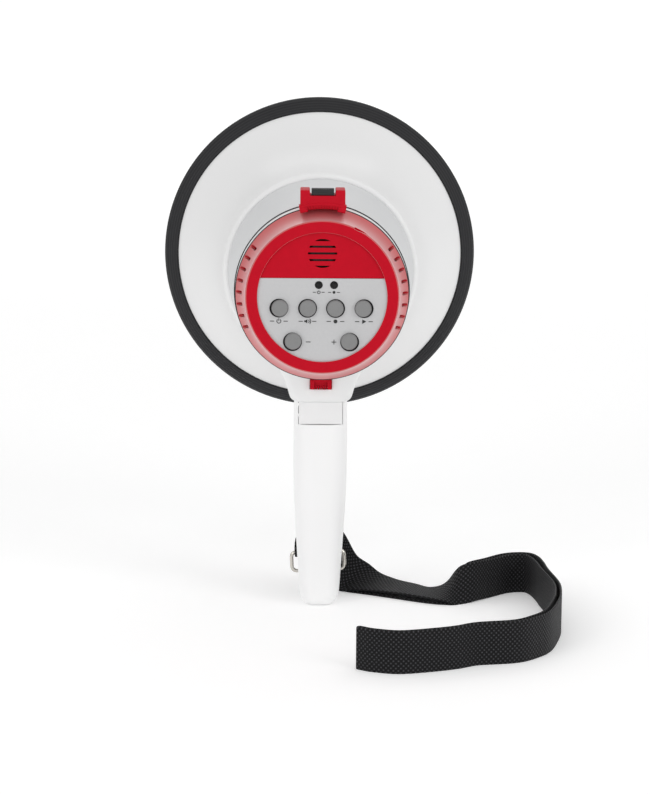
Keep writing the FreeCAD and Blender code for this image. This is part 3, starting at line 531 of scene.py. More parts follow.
def black_abs():
    """Moulded black ABS: nearly black, with a soft shine on its edges."""
    return finish_of("black_abs_moulded", linear("17181A"), 0.4, grit=0.6, grit_depth=0.01, mottle=6, shift=0.15)


def black_rubber():
    """Moulded silicone rubber under the buttons and in the joints."""
    return finish_of("silicone_rubber_black", linear("1C1C1E"), 0.62, ior=1.43, grit=0.5, mottle=5, shift=0.2)


# ---- horn ----


class MegaphoneHorn(bpy.types.PropertyGroup):
    bell_colour: colour_setting("Bell colour", "White of the horn, body and neck", "E9E9E9")
    # The body's colour is the bell's white made greyer: painted shade for the cone facing sideways and backward, not a
    # different plastic.
    body_painted_shade_colour: colour_setting("Body colour", "The greyer white of the tapered body", "D0D1D2")
    rubber_colour: colour_setting("Rubber colour", "Colour of the bumper round the mouth", "1F1F21")
    around: IntProperty(name="Steps around", description="Divisions of the large round parts", default=256,
                        min=48, max=512)


class MEGAPHONE_OT_horn(bpy.types.Operator):
    """Add the flared bell and the rubber bumper round its mouth"""

    bl_idname = "megaphone.horn"
    bl_label = "Horn and bumper"

    def execute(self, context):
        sizes = context.scene.megaphone_horn
        outer = arc((61.7, 63), (100, 153), -127, 44)
        inner = arc((98.6, 154.5), (59.7, 63.5), 129, 44)
        foot = softened([(61.7, 63), (61.7, 52.4), (59.9, 50.4), (57.1, 50.4), (57.1, 60.4), (59.7, 63.5)], 1.0,
                        closed=False)
        bell = lathe("horn_bell", np.vstack([outer, inner[:-1], foot[::-1][:-1]]), sizes.around)
        fit(bell, "head", "white_abs", white_abs(), "bell")
        bumper = lathe("mouth_bumper", softened(np.vstack([
            [(93.6, 146.2), (94.6, 145.6), (99.4, 148.2)],
            arc((100.4, 149.2), (103, 152.6), 5.5, 8),
            arc((103, 158), (100, 161), 4, 8),
            [(95.4, 161), (93.8, 159.4)],
        ]), 0.8), sizes.around)
        rubber = finish_of("epdm_rubber_moulded", tuple(sizes.rubber_colour), 0.58, ior=1.52, grit=0.8,
                           grit_depth=0.05, mottle=9, shift=0.18, rough_shift=0.08, gloss=0.25,
                           bump_from=turned_rings)
        fit(bumper, "head", "rim_rubber", rubber, "rim_bumper")
        return {"FINISHED"}


class MEGAPHONE_OT_throat(bpy.types.Operator):
    """Add the bulkhead, the throat tube and the reflector bowl inside the bell"""

    bl_idname = "megaphone.throat"
    bl_label = "Throat and reflector"

    def execute(self, context):
        around = context.scene.megaphone_horn.around // 2
        white = white_abs()
        bulkhead = lathe("throat_bulkhead", softened([(14.1, 62.8), (59.1, 62.8), (59.1, 64.8), (14.1, 64.8)], 0.5),
                         around)
        fit(bulkhead, "head", "white_abs", white, "horn_bulkhead")
        tube = lathe("throat_pipe", softened([(12, 52.3), (24, 52.3), (24, 54.3), (14, 54.3), (14, 98), (12, 98)], 0.5),
                     around)
        fit(tube, "head", "white_abs", white, "throat_tube")
        outside = arc((38, 72), (33, 101), 110, 12)
        nose = arc((33, 101), (2, 118), 28, 20)
        outline = np.vstack([outside, nose[1:], [(0, 118.1), (0, 116.1)],
                             arc((2, 116), (31.2, 100), -26.5, 18), arc((31.2, 100), (36, 72), -110, 12)[1:]])
        bowl = lathe("reflector_cone", outline, around)
        fins = [turned(block(f"fin_{angle}", (35.5, 64.8, -1), (55.5, 84, 1), 0.4), math.radians(angle))
                for angle in (30, 150, 270)]
        fit(merged("reflector_cone_and_fins", bowl, *fins), "head", "white_abs", white, "reflector_bowl")
        return {"FINISHED"}


class MEGAPHONE_OT_body(bpy.types.Operator):
    """Add the tapered body, the white collar behind it and the two thin seals that show as dark lines"""

    bl_idname = "megaphone.body"
    bl_label = "Body, collar and seals"

    def execute(self, context):
        sizes = context.scene.megaphone_horn
        shell = lathe("tapered_body", softened([
            (52.1, -44.7), (53.6, -22), (55.3, 3), (57.0, 28), (58.6, 50), (57, 50.3), (57, 59.6), (55, 59.6),
            (55, 48), (49.9, -44.7),
        ], [0.7, 3, 3, 3, 0.8, 0.1, 0.4, 0.4, 0.4, 0.4]), sizes.around)
        # Painted shade: the same white ABS as the bell, given a greyer colour where the tapered body turns away from
        # the light.
        painted_shade_white = finish_of("white_abs_painted_shade", tuple(sizes.body_painted_shade_colour), 0.4, ior=1.5, grit=5.0,
                               grit_depth=0.01, mottle=60, shift=0.012, rough_shift=0.03, gloss=0.35)
        fit(shell, "head", "white_abs", painted_shade_white, "mid_body")
        collar = lathe("rear_collar", softened([(50, -57), (51.6, -57), (52.1, -45.6), (50, -45.6)], 0.45),
                       sizes.around)
        fit(collar, "head", "white_abs", white_abs(), "collar_ring")
        for name, node, near, far, reach in (("cap_seal_cord", "cap_seal", -57.8, -57.0, 51.9),
                                             ("body_seal_cord", "body_seal", -45.7, -44.7, 52.7)):
            cord = lathe(name, softened([(50.3, near), (reach, near), (reach, far), (50.3, far)], 0.25),
                         sizes.around)
            fit(cord, "head", "seal_rubber", black_rubber(), node)
        return {"FINISHED"}


# ---- rear cap ----


class MegaphoneCap(bpy.types.PropertyGroup):
    cap_colour: colour_setting("Cap colour", "Red of the cap, latch and fold lock", "B9061F")
    panel_colour: colour_setting("Panel colour", "Paint of the control panel", "BFBFC0")
    button_colour: colour_setting("Button colour", "Colour of the six buttons", "7E7E7E")
    vents: IntProperty(name="Vents", description="Slots on each side of the cap", default=8, min=0, max=9)
    vent_pitch: FloatProperty(name="Vent pitch", description="Angle between the slots", default=math.radians(8.25),
                              subtype="ANGLE", unit="ROTATION")


class MEGAPHONE_OT_cap(bpy.types.Operator):
    """Add the domed red cap with its side vents and finger scoop"""

    bl_idname = "megaphone.cap"
    bl_label = "Rear cap"

    def execute(self, context):
        sizes = context.scene.megaphone_cap
        side = arc((45.5, -74.3), (51.4, -58.3), -29, 20)
        outline = np.vstack([
            softened([(43.6, -73.9), (38.3, -73.9), (38.3, -75), (44.9, -75), (45.5, -74.3)], 0.3,
                     closed=False)[1:-1],
            side, [(51.4, -58), (49.7, -58), (49.7, -50.1), (48.2, -50.1)],
            arc((48.2, -58), (43.6, -73.4), 31, 14),
        ])
        cap = lathe("rear_dome", outline, context.scene.megaphone_horn.around)
        tools = []
        for side_sign, first in ((1, 34.4), (-1, 145.6)):
            for index in range(sizes.vents):
                angle = math.radians(first) - side_sign * index * sizes.vent_pitch
                slot = block(f"vent_{side_sign}_{index}", (40, -65.0, -1.1), (60, -58.7, 1.1), SHARP, 0.9, upright=0)
                tools.append(turned(slot, angle))
        cutter = merged("vent_cutter", *tools)
        wedge = np.vstack([polar(46.6, [50]), polar(45.2, [57]), polar(44.5, [62, 65.5]), polar(52, [65.5, 50])])
        scoop = prism("scoop_cutter", wedge + (0, AXIS_HEIGHT), -80, -72.6, along=1)
        carve(cap, cutter, scoop, sharp=34)
        fit(cap, "rear_cap", "red_abs", red_abs_polished(), "rear_cap")
        cap.data.materials.append(red_abs_stippled())
        mesh = cap.data
        normals = np.empty(len(mesh.polygons) * 3)
        mesh.polygons.foreach_get("normal", normals)
        straight_back = -0.97  # the flat face, and not the dome round it, is stippled
        stippled = (normals.reshape(-1, 3)[:, 1] < straight_back).astype(np.int32)
        mesh.polygons.foreach_set("material_index", stippled)
        return {"FINISHED"}


def plate(name, outline, x, up, thick=0.14):
    """A thin raised mark on the panel from an outline in mm about its own middle."""
    outline = np.asarray(outline, float) + (x, AXIS_HEIGHT + up)
    return prism(name, outline, PANEL_FACE - thick, PANEL_FACE + 0.1, along=1)


def bow(radius, width, first, last, steps=20):
    """The outline of an arc-shaped stroke."""
    angles = np.linspace(first, last, steps)
    return np.vstack([polar(radius + width / 2, angles), polar(radius - width / 2, angles[::-1])])


def bar(half_width, half_height, x=0.0, up=0.0):
    """The outline of a straight stroke."""
    return np.array([(x - half_width, up - half_height), (x + half_width, up - half_height),
                     (x + half_width, up + half_height), (x - half_width, up + half_height)])


class MEGAPHONE_OT_panel(bpy.types.Operator):
    """Print the plain marks under the buttons and lights"""

    bl_idname = "megaphone.panel"
    bl_label = "Panel marks"

    def execute(self, context):
        stroke, fine_stroke = 0.42, 0.36
        row = -14.3
        beside, beneath = 9.3, 4.3
        arc_ends = (125, 415)
        marks = []
        for name, (x, _) in BUTTON_PLACES.items():
            if name.startswith("volume"):
                continue
            for side in (-1, 1):
                marks.append(plate(f"{name}_line_{side}", bar(1.25, stroke / 2, side * 4.0), x, row))
        power, siren, record, play = (BUTTON_PLACES[name][0] for name in
                                      ("power_button", "siren_button", "record_button", "play_button"))
        marks += [
            plate("power_arc", bow(1.2, stroke, *arc_ends), power, row),
            plate("power_bar", bar(stroke / 2, 0.75, 0, 0.85), power, row),
            plate("siren_cone", [(-1.9, -0.5), (-1.1, -0.5), (-0.1, -1.3), (-0.1, 1.3), (-1.1, 0.5), (-1.9, 0.5)],
                  siren, row),
            plate("siren_wave", bow(1.0, stroke, -55, 55), siren, row),
            plate("siren_far_wave", bow(1.9, stroke, -50, 50), siren, row),
            plate("record_dot", polar(1.15, np.arange(0, 360, 12)), record, row),
            plate("play_wedge", [(-1.0, -1.3), (1.35, 0), (-1.0, 1.3)], play, row),
        ]
        left, low = BUTTON_PLACES["volume_down_button"]
        right, _ = BUTTON_PLACES["volume_up_button"]
        marks += [
            plate("quieter_bar", bar(1.4, stroke / 2), left + beside, low),
            plate("louder_bar", bar(1.4, stroke / 2), right - beside, low),
            plate("louder_top", bar(stroke / 2, 0.6, 0, 0.8), right - beside, low),
            plate("louder_foot", bar(stroke / 2, 0.6, 0, -0.8), right - beside, low),
        ]
        (first, height), (second, _) = LIGHT_PLACES
        lamp_row = height - beneath
        marks += [
            plate("lamp_arc", bow(0.85, fine_stroke, *arc_ends), first, lamp_row),
            plate("lamp_bar", bar(fine_stroke / 2, 0.5, 0, 0.65), first, lamp_row),
            plate("lamp_dot", polar(0.85, np.arange(0, 360, 15)), second, lamp_row),
        ]
        for x in (first, second):
            for side in (-1, 1):
                marks.append(plate(f"lamp_line_{x}_{side}", bar(0.9, fine_stroke / 2, side * 2.6), x, lamp_row))
        # Screen-printed ink: matt black, a hair thick.
        ink = finish_of("screen_ink_black", linear("262626"), 0.6, grit=0.4, mottle=3, shift=0.2)
        fit(merged("panel_marks", *marks), "rear_cap", "black_plastic", ink)
        return {"FINISHED"}


class MEGAPHONE_OT_buttons(bpy.types.Operator):
    """Add the six round buttons, each with its rubber skirt, and the two indicator lights"""

    bl_idname = "megaphone.buttons"
    bl_label = "Buttons and lights"

    def execute(self, context):
        around = 64
        inward = 0.98  # each knob's share of its skirt's distance from the panel's middle
        top = arc((4.25, -76.6), (0, -76.35), 40, 8)
        edge = softened([(4.25, -76.6), (4.9, -76.1), (4.9, -72.5), (0, -72.5)], 0.5, closed=False)
        outline = np.vstack([top[::-1], edge[1:]])
        lip = softened([(4.4, -72.9), (5.3, -72.9), (5.5, -72.5), (6.3, -72.4), (6.3, -71.4), (4.4, -71.4)], 0.2)
        for name, (x, up) in BUTTON_PLACES.items():
            knob = lathe(f"{name}_knob", outline, around, (x * inward, AXIS_HEIGHT + up * inward))
            fit(knob, name, "grey_button", grey_abs(), name)
            skirt = lathe(f"{name}_skirt", lip, around, (x, AXIS_HEIGHT + up))
            fit(skirt, name, "seal_rubber", black_rubber())
        dome = np.vstack([[(0, -72.2), (2.15, -72.2), (2.15, PANEL_FACE), (2.35, PANEL_FACE)],
                          arc((2.35, -73.95), (0.05, -74.5), 6, 10), [(0, -74.5)]])
        lamps = [lathe(f"lamp_{index}", dome, 48, (x, AXIS_HEIGHT + up))
                 for index, (x, up) in enumerate(LIGHT_PLACES)]
        # Smoked polycarbonate over the lamps: looks black until lit, and has a small highlight.
        smoked = finish_of("smoked_polycarbonate", linear("0C0C0D"), 0.3, gloss=0.25, grit=2, grit_depth=0.003,
                           mottle=2, shift=0.2, rough_shift=0.03)
        fit(merged("indicator_lamps", *lamps), "rear_cap", "light", smoked, "status_lights")
        return {"FINISHED"}


class MEGAPHONE_OT_latch(bpy.types.Operator):
    """Add the latch block with its curved lip and feet, and the ribbed slider in its notch"""

    bl_idname = "megaphone.latch"
    bl_label = "Latch"

    def execute(self, context):
        top = AXIS_HEIGHT + 62.4
        notch, notch_half = top - 3.4, 7.6
        half, seat = 13.3, 52.6
        reach = math.degrees(math.acos(half / seat))
        below = polar(seat, np.linspace(180 - reach, reach, 24)) + (0, AXIS_HEIGHT)
        outline = np.vstack([below, [(half, top), (notch_half, top), (notch_half, notch), (-notch_half, notch),
                                     (-notch_half, top), (-half, top)]])
        shell = rounded(prism("latch_shell", outline, -65.6, -45.5), 0.7)
        lip = softened([(51.3, -66.2), (54.6, -66.2), (55.2, -65.2), (55.2, -58), (52, -58)], 0.6)
        tooth = softened([(51.7, -66.9), (53.4, -66.9), (53.7, -66), (51.5, -66)], 0.25)
        foot = softened([(50.3, -66.9), (52.8, -66.9), (54, -65.8), (54, -60.5), (51.6, -61)], 0.9)
        parts = [shell, sector("latch_lip", lip, 90 - 14.8, 90 + 14.8)]
        for index in range(13):
            angle = 90 + (index - 6) * 1.75
            parts.append(sector(f"latch_tooth_{index}", tooth, angle - 0.4, angle + 0.4, 4))
        for side in (-1, 1):
            middle = 90 - side * 12.4
            parts.append(sector(f"latch_foot_{side}", foot, middle - 2.6, middle + 2.6, 10))
        fit(merged("latch_block", *parts), "rear_cap", "red_abs", red_abs_satin(), "latch_housing")
        floor = notch + 0.2
        ridge = np.arange(5)[:, None] * 1.5
        rise = np.array([(-63.3, 61.3), (-62.7, 62.9), (-62.1, 62.9), (-61.8, 61.6)])
        teeth = (rise[None] + np.stack([ridge, ridge * 0], axis=-1)).reshape(-1, 2)
        side = np.vstack([[(-63.8, floor - AXIS_HEIGHT), (-63.8, 61.1)], teeth,
                          [(-54.6, 62.6), (-53, 62.1), (-53, floor - AXIS_HEIGHT)]]) + (0, AXIS_HEIGHT)
        slider = rounded(prism("latch_thumb_slider", side, -6.65, 6.65, along=0), 0.15, 2)
        fit(slider, "latch_slider", "black_plastic", black_abs(), "latch_slider")
        return {"FINISHED"}


# ---- neck and handle ----


class MegaphoneHandle(bpy.types.PropertyGroup):
    handle_colour: colour_setting("Handle colour", "White of the handle", "F4F4F4")
    edge: FloatProperty(name="Edge rounding", description="Rounding of the handle's cut edges", default=0.4 * MM,
                        unit="LENGTH", min=0, max=0.001)


class MEGAPHONE_OT_neck(bpy.types.Operator):
    """Add the flared neck under the body, with the hinge tongue below and the pocket for the fold lock"""

    bl_idname = "megaphone.neck"
    bl_label = "Neck"

    def execute(self, context):
        table = smooth_run([
            (14.8, 20, 4.5, 130.0), (17.2, 20.6, 4.5, 131.0), (19.0, 21.4, 5, 133.4), (20.6, 22.6, 5, 139),
            (22.4, 24, 5, 144.5), (25.0, 25.6, 5, 150), (28.4, 27.4, 5, 157), (31.5, 29, 5, 163),
        ], 5)
        table = np.column_stack([table, np.zeros((len(table), 2))])
        neck = loft("folding_neck", rounded_rings(table))
        seat = lathe("neck_seat", [(0, -46), (51.9, -46), (58.5, 52), (0, 52)], 192)
        pocket = block("lock_pocket", (-6.9, -40, 138.4), (6.9, -14, 148.3), 0.3)
        carve(neck, seat, pocket)
        tongue = block("neck_tongue", (-13.4, -19.3, 116.3), (13.4, -2, 131), 0.5)
        barrel = prism("neck_barrel", polar(6, np.linspace(0, 360, 49)[:-1]) + (0, FOLD_PIN_HEIGHT), -13.4, 13.4,
                       along=0)
        web = block("neck_web", (-13.4, -5.9, FOLD_PIN_HEIGHT), (13.4, -1.6, 130.5), 0.2)
        fit(merged("neck_and_tongue", neck, tongue, barrel, web), "head", "white_abs", white_abs(), "neck")
        return {"FINISHED"}


class MEGAPHONE_OT_fold_lock(bpy.types.Operator):
    """Add the red fold lock with its two ears and the toothed thumb grip between them"""

    bl_idname = "megaphone.fold_lock"
    bl_label = "Fold lock"

    def execute(self, context):
        low, high = 138.9, 145.0
        body = block("lock_core", (-6.3, -24.6, low + 0.8), (6.3, -18.3, high), 0.5)
        parts = [body]
        for side in (-1, 1):
            inner, outer = sorted((side * 3.9, side * 6.5))
            parts.append(block(f"lock_ear_{side}", (inner, -26.4, low), (outer, -20, high), 0.6))
            inner, outer = sorted((side * 5.6, side * 6.6))
            parts.append(block(f"lock_shoulder_{side}", (inner, -26.8, high - 2.2), (outer, -20, high), 0.4))
        parts.append(block("lock_brow", (-5, -25.8, high - 1.6), (5, -20, high), 0.5))
        for index in range(5):
            middle = (index - 2) * 1.45
            parts.append(block(f"lock_tooth_{index}", (middle - 0.4, -25.7, low - 0.1), (middle + 0.4, -20, low + 2.6),
                               0.3))
        fit(merged("fold_lock_clip", *parts), "fold_lock", "red_abs", red_abs_satin(), "fold_lock")
        return {"FINISHED"}


def handle_skin(name, inset, low, high):
    """The handle's loft drawn in by inset, between two heights in mm."""
    table = smooth_run(HANDLE_SECTIONS, 7)
    height = np.concatenate([[low], table[(table[:, 2] > low) & (table[:, 2] < high), 2], [high]])
    wide, deep = (np.interp(height, table[:, 2], table[:, column]) - inset for column in (0, 1))
    empty = np.zeros_like(height)
    return loft(name, rounded_rings(np.column_stack([wide, deep, 0.7 * wide, height, empty, empty]), 10))


class MEGAPHONE_OT_handle(bpy.types.Operator):
    """Add the two handle shells, hollow, with the hinge slot above and the trigger opening in front"""

    bl_idname = "megaphone.handle"
    bl_label = "Handle"

    def execute(self, context):
        edge = context.scene.megaphone_handle.edge / MM
        lean = math.radians(65)
        pin, reach, far_off = FOLD_PIN_HEIGHT, 7.6, 40
        relief = arc((reach * math.sin(lean), pin + reach * math.cos(lean)), (0, pin + reach), reach, 10)
        run_out = pin + (reach - far_off * math.sin(lean)) / math.cos(lean)
        crown = np.vstack([[(-far_off, 150), (-far_off, pin + reach)], relief[::-1],
                           [(far_off, run_out), (far_off, 150)]])
        for name, node, near, far in (("handle_back", "handle_rear_shell", -40, 3.9),
                                      ("handle_front", "handle_front_shell", 4.1, 40)):
            shell = handle_skin(name, 0, 0, 130)
            core = handle_skin("handle_room", 2.2, 3.2, 112.6)
            slot = block("hinge_slot", (-13.7, -45, 115.8), (13.7, 45, 150), SHARP, 0.4)
            top = prism("handle_crown", crown, -30, 30, along=0)
            half = block("handle_half", (-40, near, -5), (40, far, 150), SHARP)
            tools = [core, slot, top]
            if near > 0:
                tools.append(block("trigger_way", (-8.4, 5.6, 54.5), (8.4, 45, 98.2), SHARP, 1.2, upright=1))
            carve(shell, *tools)
            carve(shell, half, keep_shared=True)
            if edge:
                rounded(shell, edge, 2, 50)
            if near > 0:
                lug = block("strap_lug", (-7.9, 12.5, 11.9), (7.9, 22.8, 18.2), 1.2)
                wire = prism("ring_way", polar(1.4, np.linspace(0, 360, 33)[:-1]) + RING_BAR, -12, 12, along=0)
                shell = merged(name, shell, carve(lug, wire))
            fit(shell, "handle", "white_handle", white_handle_abs(), node)
            shell.name = name
        return {"FINISHED"}


class MEGAPHONE_OT_trigger(bpy.types.Operator):
    """Add the talk trigger in the front of the handle"""

    bl_idname = "megaphone.trigger"
    bl_label = "Trigger"

    def execute(self, context):
        side = softened(np.vstack([
            [(9.3, 93), (9.3, 87), (13.7, 83), (14.6, 58.6), (16.1, 57), (23.5, 57.5)],
            arc((26.5, 61), (24.1, 86), -60, 12),
            [(21.5, 91), (16.5, 93.6)],
        ]), 1.6)
        trigger = rounded(prism("talk_trigger", side, -8, 8, along=0), 1.2, 4, 50)
        fit(trigger, "trigger", "red_abs", red_abs_satin(), "trigger")
        return {"FINISHED"}


# ---- ring and strap ----


class MegaphoneStrap(bpy.types.PropertyGroup):
    webbing_colour: colour_setting("Webbing colour", "Ground colour of the strap", "0E0E0F")
    thickness: FloatProperty(name="Thickness", description="Thickness of one layer of webbing", default=1.3 * MM,
                             unit="LENGTH", min=0.0005, max=0.003)
    weave_pitch: FloatProperty(name="Weave pitch", description="Distance over which the weave repeats",
                               default=2.8 * MM, unit="LENGTH", min=0.001, max=0.006)


class MEGAPHONE_OT_ring(bpy.types.Operator):
    """Add the bent wire ring that holds the strap"""

    bl_idname = "megaphone.ring"
    bl_label = "Wire ring"

    def execute(self, context):
        half_width, half_height, corner, wire = 16.6, 6.05, 3.6, 1.2
        corners = np.array([(-1, -1), (1, -1), (1, 1), (-1, 1)]) * (half_width, half_height) + (-0.3, 21.9)
        path = softened(corners, corner, 10)
        ahead = np.roll(path, -1, axis=0) - np.roll(path, 1, axis=0)
        ahead /= np.linalg.norm(ahead, axis=1)[:, None]
        outward = np.column_stack([ahead[:, 1], -ahead[:, 0]])
        turn = np.linspace(0, FULL_TURN, 20, endpoint=False)
        across = path[:, None, :] + wire * np.cos(turn)[None, :, None] * outward[:, None, :]
        depth = np.broadcast_to(RING_BAR[0] + wire * np.sin(turn), across.shape[:2])
        points = np.stack([across[..., 0], depth, across[..., 1]], axis=-1)
        ring = piece_from("strap_wire_ring", points.reshape(-1, 3), grid_faces(len(path), 20, wrap_rows=True))
        hang = Matrix.Translation((0, 0, RING_BAR[1] * MM))
        tilt = math.radians(3.2)
        ring.data.transform(hang @ Matrix.Rotation(-tilt, 4, "Y") @ hang.inverted())
        # Nickel-plated steel wire: a bright drawn metal with fine lengthwise marks.
        nickel = finish_of("nickel_plated_wire", linear("CFCBC4"), 0.2, metal=1.0, grit=0.4, grit_depth=0.01,
                           mottle=4, shift=0.1, bump_from=drawn_scratches)
        fit(ring, "strap_ring", "chrome_wire", nickel, "strap_ring")
        return {"FINISHED"}


def strap_rows():
    """Middle, outward normal and width direction of the webbing, row by row round its closed loop, in mm.

    The two runs are the smooth middle surface moved by plus and minus the half space along its normal. Each end is
    a half turn: middle + space * (ahead * sin t + normal * cos t).
    """
    flat = np.array([(*low, *high, space) for low, high, space in STRAP_STATIONS], float)
    run = smooth_run(flat, 9)
    low, high, space = run[:, :3], run[:, 3:6], run[:, 6:]
    middle = (low + high) / 2
    wide = high - low
    wide /= np.linalg.norm(wide, axis=1)[:, None]
    ahead = np.gradient(middle, axis=0)
    normal = np.cross(ahead, wide)
    normal /= np.linalg.norm(normal, axis=1)[:, None]
    ahead = np.cross(wide, normal)
    layer = bpy.context.scene.megaphone_strap.thickness / MM / 2
    settling = 6  # the height in mm below which the lower edge sinks to rest on the floor
    on_floor = np.clip((settling - low[:, 2:]) / settling, 0, 1)
    middle[:, 2:] += on_floor * np.abs(normal[:, 2:]) * (space + layer)
    turn = np.linspace(0, math.pi, 11)[1:-1, None]

    def half_turn(index, way):
        out = way * ahead[index] * np.sin(turn) + normal[index] * np.cos(turn)
        return middle[index] + space[index] * out, out, np.repeat(wide[[index]], len(turn), axis=0)

    far = half_turn(-1, 1)
    near = half_turn(0, -1)
    rows = [middle + space * normal, far[0], (middle - space * normal)[::-1], near[0][::-1]]
    normals = [normal, far[1], -normal[::-1], near[1][::-1]]
    widths = [wide, far[2], wide[::-1], near[2]]
    return np.vstack(rows), np.vstack(normals), np.vstack(widths)


class MEGAPHONE_OT_strap(bpy.types.Operator):
    """Add the looped webbing strap from the ring round to its folded end"""

    bl_idname = "megaphone.strap"
    bl_label = "Strap"

    def execute(self, context):
        sizes = context.scene.megaphone_strap
        middle, normal, wide = strap_rows()
        half = 12.5
        layer = sizes.thickness / MM / 2
        across = np.array([-1, -0.985, -0.93, -0.6, -0.2, 0.2, 0.6, 0.93, 0.985, 1.0])
        lift = layer * np.array([0.3, 0.75, 1, 1, 1, 1, 1, 1, 0.75, 0.3])
        section = np.column_stack([np.concatenate([across, across[::-1]]) * half,
                                   np.concatenate([lift, -lift[::-1]])])
        points = (middle[:, None, :] + section[None, :, :1] * wide[:, None, :]
                  + section[None, :, 1:] * normal[:, None, :])
        points[..., 2] = np.maximum(points[..., 2], 0.02)
        rows, columns = points.shape[:2]
        length = np.linalg.norm(np.roll(middle, -1, axis=0) - middle, axis=1)
        along = np.concatenate([[0], np.cumsum(length)])
        strap = piece_from("wrist_strap", points.reshape(-1, 3), grid_faces(rows, columns, wrap_rows=True), 60)
        if len(strap.data.polygons) != rows * columns:
            raise RuntimeError("the strap's faces no longer match its weave")
        self.lay_weave(strap, section[:, 0], along)
        # bright is a painted highlight colour for the weave's crests, not a second thread colour.
        bright = linear("48484B")
        webbing = finish_of("polypropylene_webbing", tuple(sizes.webbing_colour), 0.62, ior=1.49, grit=0.3,
                            grit_depth=0.45, mottle=7, shift=0.25, rough_shift=0.1, gloss=0.15, sheen=0.03,
                            bump_from=woven(sizes.weave_pitch, bright))
        strap.data.materials.append(webbing)
        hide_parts("strap_wrap", "strap_back_run", "strap_front_run")
        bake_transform(strap)
        return {"FINISHED"}

    def lay_weave(self, strap, across, along):
        """Gives each corner its place on the flat webbing: u across it and v along it, in metres."""
        columns = len(across)
        rows = len(along) - 1
        mesh = strap.data
        loops = np.empty(len(mesh.loops), np.int32)
        mesh.loops.foreach_get("vertex_index", loops)
        faces = loops.reshape(-1, 4)
        own = faces // columns
        wraps = (own.max(axis=1) - own.min(axis=1) > 1)[:, None]
        v = along[np.where(wraps & (own == 0), rows, own)]
        u = across[faces % columns]
        layer = mesh.uv_layers.new(name="UVMap")
        layer.data.foreach_set("uv", (np.stack([u, v], axis=-1) * MM).astype(np.float32).ravel())


# ---- what is inside ----


def coil(name, fixed, free, radius, wire, turns):
    """A helical spring from its fixed end to its free end, in mm.

    The wire's middle is fixed + ahead * along + (radius - wire) * (side * cos t + up * sin t), with t going once
    round for each turn, and the wire is a ring of points about that middle.
    """
    fixed, free = np.array(fixed, float), np.array(free, float)
    length = np.linalg.norm(free - fixed)
    ahead = (free - fixed) / length
    side = np.array([1.0, 0, 0])
    up = np.cross(ahead, side)
    turn = np.linspace(0, FULL_TURN * turns, 24 * turns + 1)
    out = np.cos(turn)[:, None] * side + np.sin(turn)[:, None] * up
    along = np.linspace(wire, length - wire, len(turn))
    middle = fixed + along[:, None] * ahead + (radius - wire) * out
    around = np.linspace(0, FULL_TURN, 10, endpoint=False)
    rings = middle[:, None, :] + wire * (np.cos(around)[None, :, None] * out[:, None, :]
                                         + np.sin(around)[None, :, None] * ahead)
    return loft(name, rings)


class MEGAPHONE_OT_springs(bpy.types.Operator):
    """Add the three coil springs that return the fold lock, the trigger and the latch"""

    bl_idname = "megaphone.springs"
    bl_label = "Return springs"

    def execute(self, context):
        # Drawn spring wire: the same bright zinc finish as the screws.
        wire_steel = finish_of("zinc_plated_spring_wire", linear("B9BCC0"), 0.3, metal=1.0, grit=0.5,
                               grit_depth=0.01, mottle=3, shift=0.12, bump_from=drawn_scratches)
        for node, body, joint, fixed, free, radius, wire, turns, keep in (
            ("fold_lock_spring", "head", "fold_lock_lift", (0, -21, 148.2), (0, -21, 145.1), 1.6, 0.18, 3, 0.2),
            ("trigger_spring", "handle", "trigger_squeeze", (0, 3, 61.5), (0, 14.2, 61.5), 2.4, 0.3, 8, 0.63),
            ("latch_spring", "rear_cap", "latch_push", (0, -48.1, 260.7), (0, -52.9, 260.7), 1.3, 0.16, 5, 0.46),
        ):
            spring = coil(f"{node}_coil", fixed, free, radius, wire, turns)
            fit(spring, body, "steel", wire_steel, node)
            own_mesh(spring)
        return {"FINISHED"}


